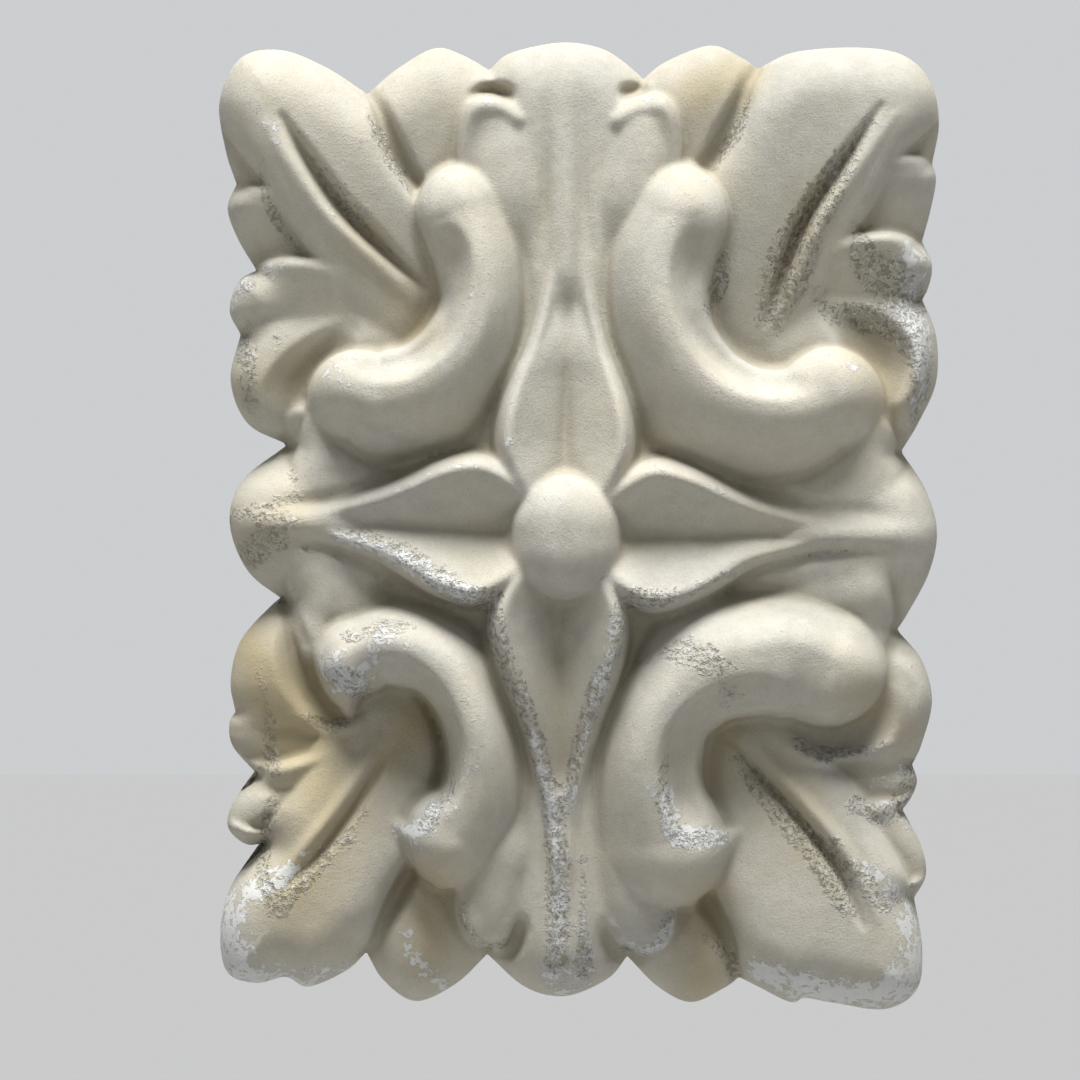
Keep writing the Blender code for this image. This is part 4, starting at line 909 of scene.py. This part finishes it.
def plain_floor(colour):
    """Matt pale floor."""
    finish = Finish(bpy.data.materials.new("pale_floor"))
    finish.shader.inputs["Base Color"].default_value = (*colour, 1.0)
    finish.shader.inputs["Roughness"].default_value = FLOOR_ROUGHNESS
    return finish.owner


def colour_property(name, description, default):
    """A colour that the user may change."""
    return FloatVectorProperty(name=name, description=description, default=default, size=len(default),
                               subtype="COLOR", min=0.0, max=1.0)


def number_property(name, description, default, **kind):
    """A number that the user may change."""
    return FloatProperty(name=name, description=description, default=default, **kind)


def length_property(name, description, default):
    """A length in metres that the user may change."""
    return number_property(name, description, default, unit="LENGTH", precision=5)


class RosetteCasting(bpy.types.PropertyGroup):
    """Fineness and finish of the casting."""

    columns: IntProperty(name="Columns", description="Squares across the front sheet", default=300, min=20)
    rows: IntProperty(name="Rows", description="Squares up the front sheet", default=315, min=20)
    carving_step: length_property("Carving step", "Spacing of the grid that is carved", 0.0003)
    pit_depth: length_property("Pit depth", "How deep the pits are", 0.0004)
    skin_cool: colour_property("Cool skin", "Grey side of the stone's skin", (0.42, 0.405, 0.355, 1.0))
    skin_warm: colour_property("Warm skin", "Cream side of the stone's skin", (0.49, 0.455, 0.37, 1.0))
    skin_pale: colour_property("Pale skin", "Fine pale mottling", (0.55, 0.535, 0.48, 1.0))
    # The ochre colour marks the listed stained places and also serves as painted shade in the hollows.
    ochre: colour_property("Ochre", "Stain in hollows and on the lower leaves", (0.4, 0.33, 0.185, 1.0))
    # The hollow colour is the dark of the painted shade in the hollows, and also darkens the fine grain
    # specks.
    hollow: colour_property("Hollow", "Dirt at the bottom of the hollows", (0.15, 0.13, 0.08, 1.0))
    chalk: colour_property("Chalk", "Chalky bloom on worn edges", (0.63, 0.64, 0.635, 1.0))
    pit: colour_property("Pit", "Dirt in the pits", (0.18, 0.16, 0.11, 1.0))


class RosetteStage(bpy.types.PropertyGroup):
    """Floor, light and camera."""

    floor: colour_property("Floor", "Colour of the floor", (0.24, 0.24, 0.24))
    floor_drop: length_property("Floor drop", "How far the floor lies below the rosette", 0.5)
    floor_size: length_property("Floor size", "Side of the floor", 24.0)
    sky: colour_property("Sky", "Colour of the light all round", (0.86, 0.88, 0.9))
    sky_strength: number_property("Sky strength", "Strength of the light all round", 0.18)
    horizon_strength: number_property("Horizon strength", "Strength of the pale band at the horizon", 0.7)
    key_strength: number_property("Key strength", "Strength of the key light above", 7.2)
    key_spread: number_property("Key spread", "How wide the key light looks from the rosette",
                                math.radians(30), unit="ROTATION", subtype="ANGLE")
    back_power: number_property("Back power", "Power of the soft box behind", 14.0, unit="POWER")
    back_size: length_property("Back size", "Side of the soft box behind", 1.0)
    distance: length_property("Distance", "From the camera to the rosette", 1.0)


class ROSETTE_OT_casting(bpy.types.Operator):
    """Carve the rosette's fine surface and finish it as weathered stone."""

    bl_idname = "rosette.casting"
    bl_label = "Carve Rosette"

    def execute(self, context):
        sizes = context.scene.rosette_casting
        casting = make_casting(sizes)
        casting.data.materials.append(weathered_stone(sizes))
        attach(casting, "root")
        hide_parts("rosette")
        return {"FINISHED"}


class ROSETTE_OT_stage(bpy.types.Operator):
    """Lay the floor, hang the light and place the camera."""

    bl_idname = "rosette.stage"
    bl_label = "Set Stage"

    def execute(self, context):
        stage = context.scene.rosette_stage
        place = (0, 0, CAD_LOW[2] - stage.floor_drop)
        bpy.ops.mesh.primitive_plane_add(size=stage.floor_size, location=place)
        floor = context.object
        floor.name = "floor"
        floor.data.materials.append(plain_floor(stage.floor))
        hang_light(context.scene, stage)
        place_camera(context.scene, stage)
        return {"FINISHED"}


def hang_light(scene, stage):
    """A dim sky with a pale band at the horizon, a soft key above the front and a weak box behind."""
    world = bpy.data.worlds.new("pale_sky")
    sky = Finish(world)
    way = sky.node("ShaderNodeTexCoord", output="Generated")
    up = sky.node("ShaderNodeSeparateXYZ", None, {"Vector": way}, "Z")
    band = 1 - up.maths("ABSOLUTE", up).step(*HORIZON_BAND)
    background = world.node_tree.nodes["Background"]
    background.inputs["Color"].default_value = (*stage.sky, 1.0)
    gain = stage.horizon_strength - stage.sky_strength
    sky.feed(background.inputs["Strength"], stage.sky_strength + band * gain)
    scene.world = world
    key = bpy.data.lights.new("soft_key", "SUN")
    key.angle = stage.key_spread
    key.energy = stage.key_strength
    back = bpy.data.lights.new("back_box", "AREA")
    back.shape = "SQUARE"
    back.size = stage.back_size
    back.energy = stage.back_power
    for light, place in ((key, KEY_PLACE), (back, BACK_BOX_PLACE)):
        lamp = bpy.data.objects.new(light.name, light)
        lamp.location = place
        lamp.rotation_euler = (-place).to_track_quat("-Z", "Y").to_euler()
        scene.collection.objects.link(lamp)


def place_camera(scene, stage):
    """A camera square to the front, framed as the photograph is."""
    lens = bpy.data.cameras.new("camera")
    lens.sensor_width = SENSOR
    lens.lens = SENSOR * (stage.distance + DEPTH - WALL) / PHOTO_WIDTH
    camera = bpy.data.objects.new("camera", lens)
    camera.location = (PHOTO_MIDDLE[0], -DEPTH - stage.distance, PHOTO_MIDDLE[1])
    camera.rotation_euler = (math.radians(90), 0, 0)
    scene.collection.objects.link(camera)
    scene.camera = camera
    scene.view_settings.view_transform = "Standard"


class ROSETTE_PT_panel(bpy.types.Panel):
    """Lists the rosette's sizes and colours, and the buttons that make it."""

    bl_idname = "ROSETTE_PT_panel"
    bl_label = "Gothic Rosette"
    bl_space_type = "VIEW_3D"
    bl_region_type = "UI"
    bl_category = "Rosette"

    def draw(self, context):
        for group, operator in (
            (context.scene.rosette_casting, ROSETTE_OT_casting),
            (context.scene.rosette_stage, ROSETTE_OT_stage),
        ):
            box = self.layout.box()
            for name in group.__annotations__:
                box.prop(group, name)
            box.operator(operator.bl_idname)


CLASSES = (RosetteCasting, RosetteStage, ROSETTE_OT_casting, ROSETTE_OT_stage, ROSETTE_PT_panel)


def register():
    for item in CLASSES:
        bpy.utils.register_class(item)
    bpy.types.Scene.rosette_casting = PointerProperty(type=RosetteCasting)
    bpy.types.Scene.rosette_stage = PointerProperty(type=RosetteStage)


def unregister():
    del bpy.types.Scene.rosette_stage
    del bpy.types.Scene.rosette_casting
    for item in reversed(CLASSES):
        bpy.utils.unregister_class(item)


def main():
    register()
    bpy.ops.rosette.casting()
    bpy.ops.rosette.stage()


if __name__ == "__main__":
    main()
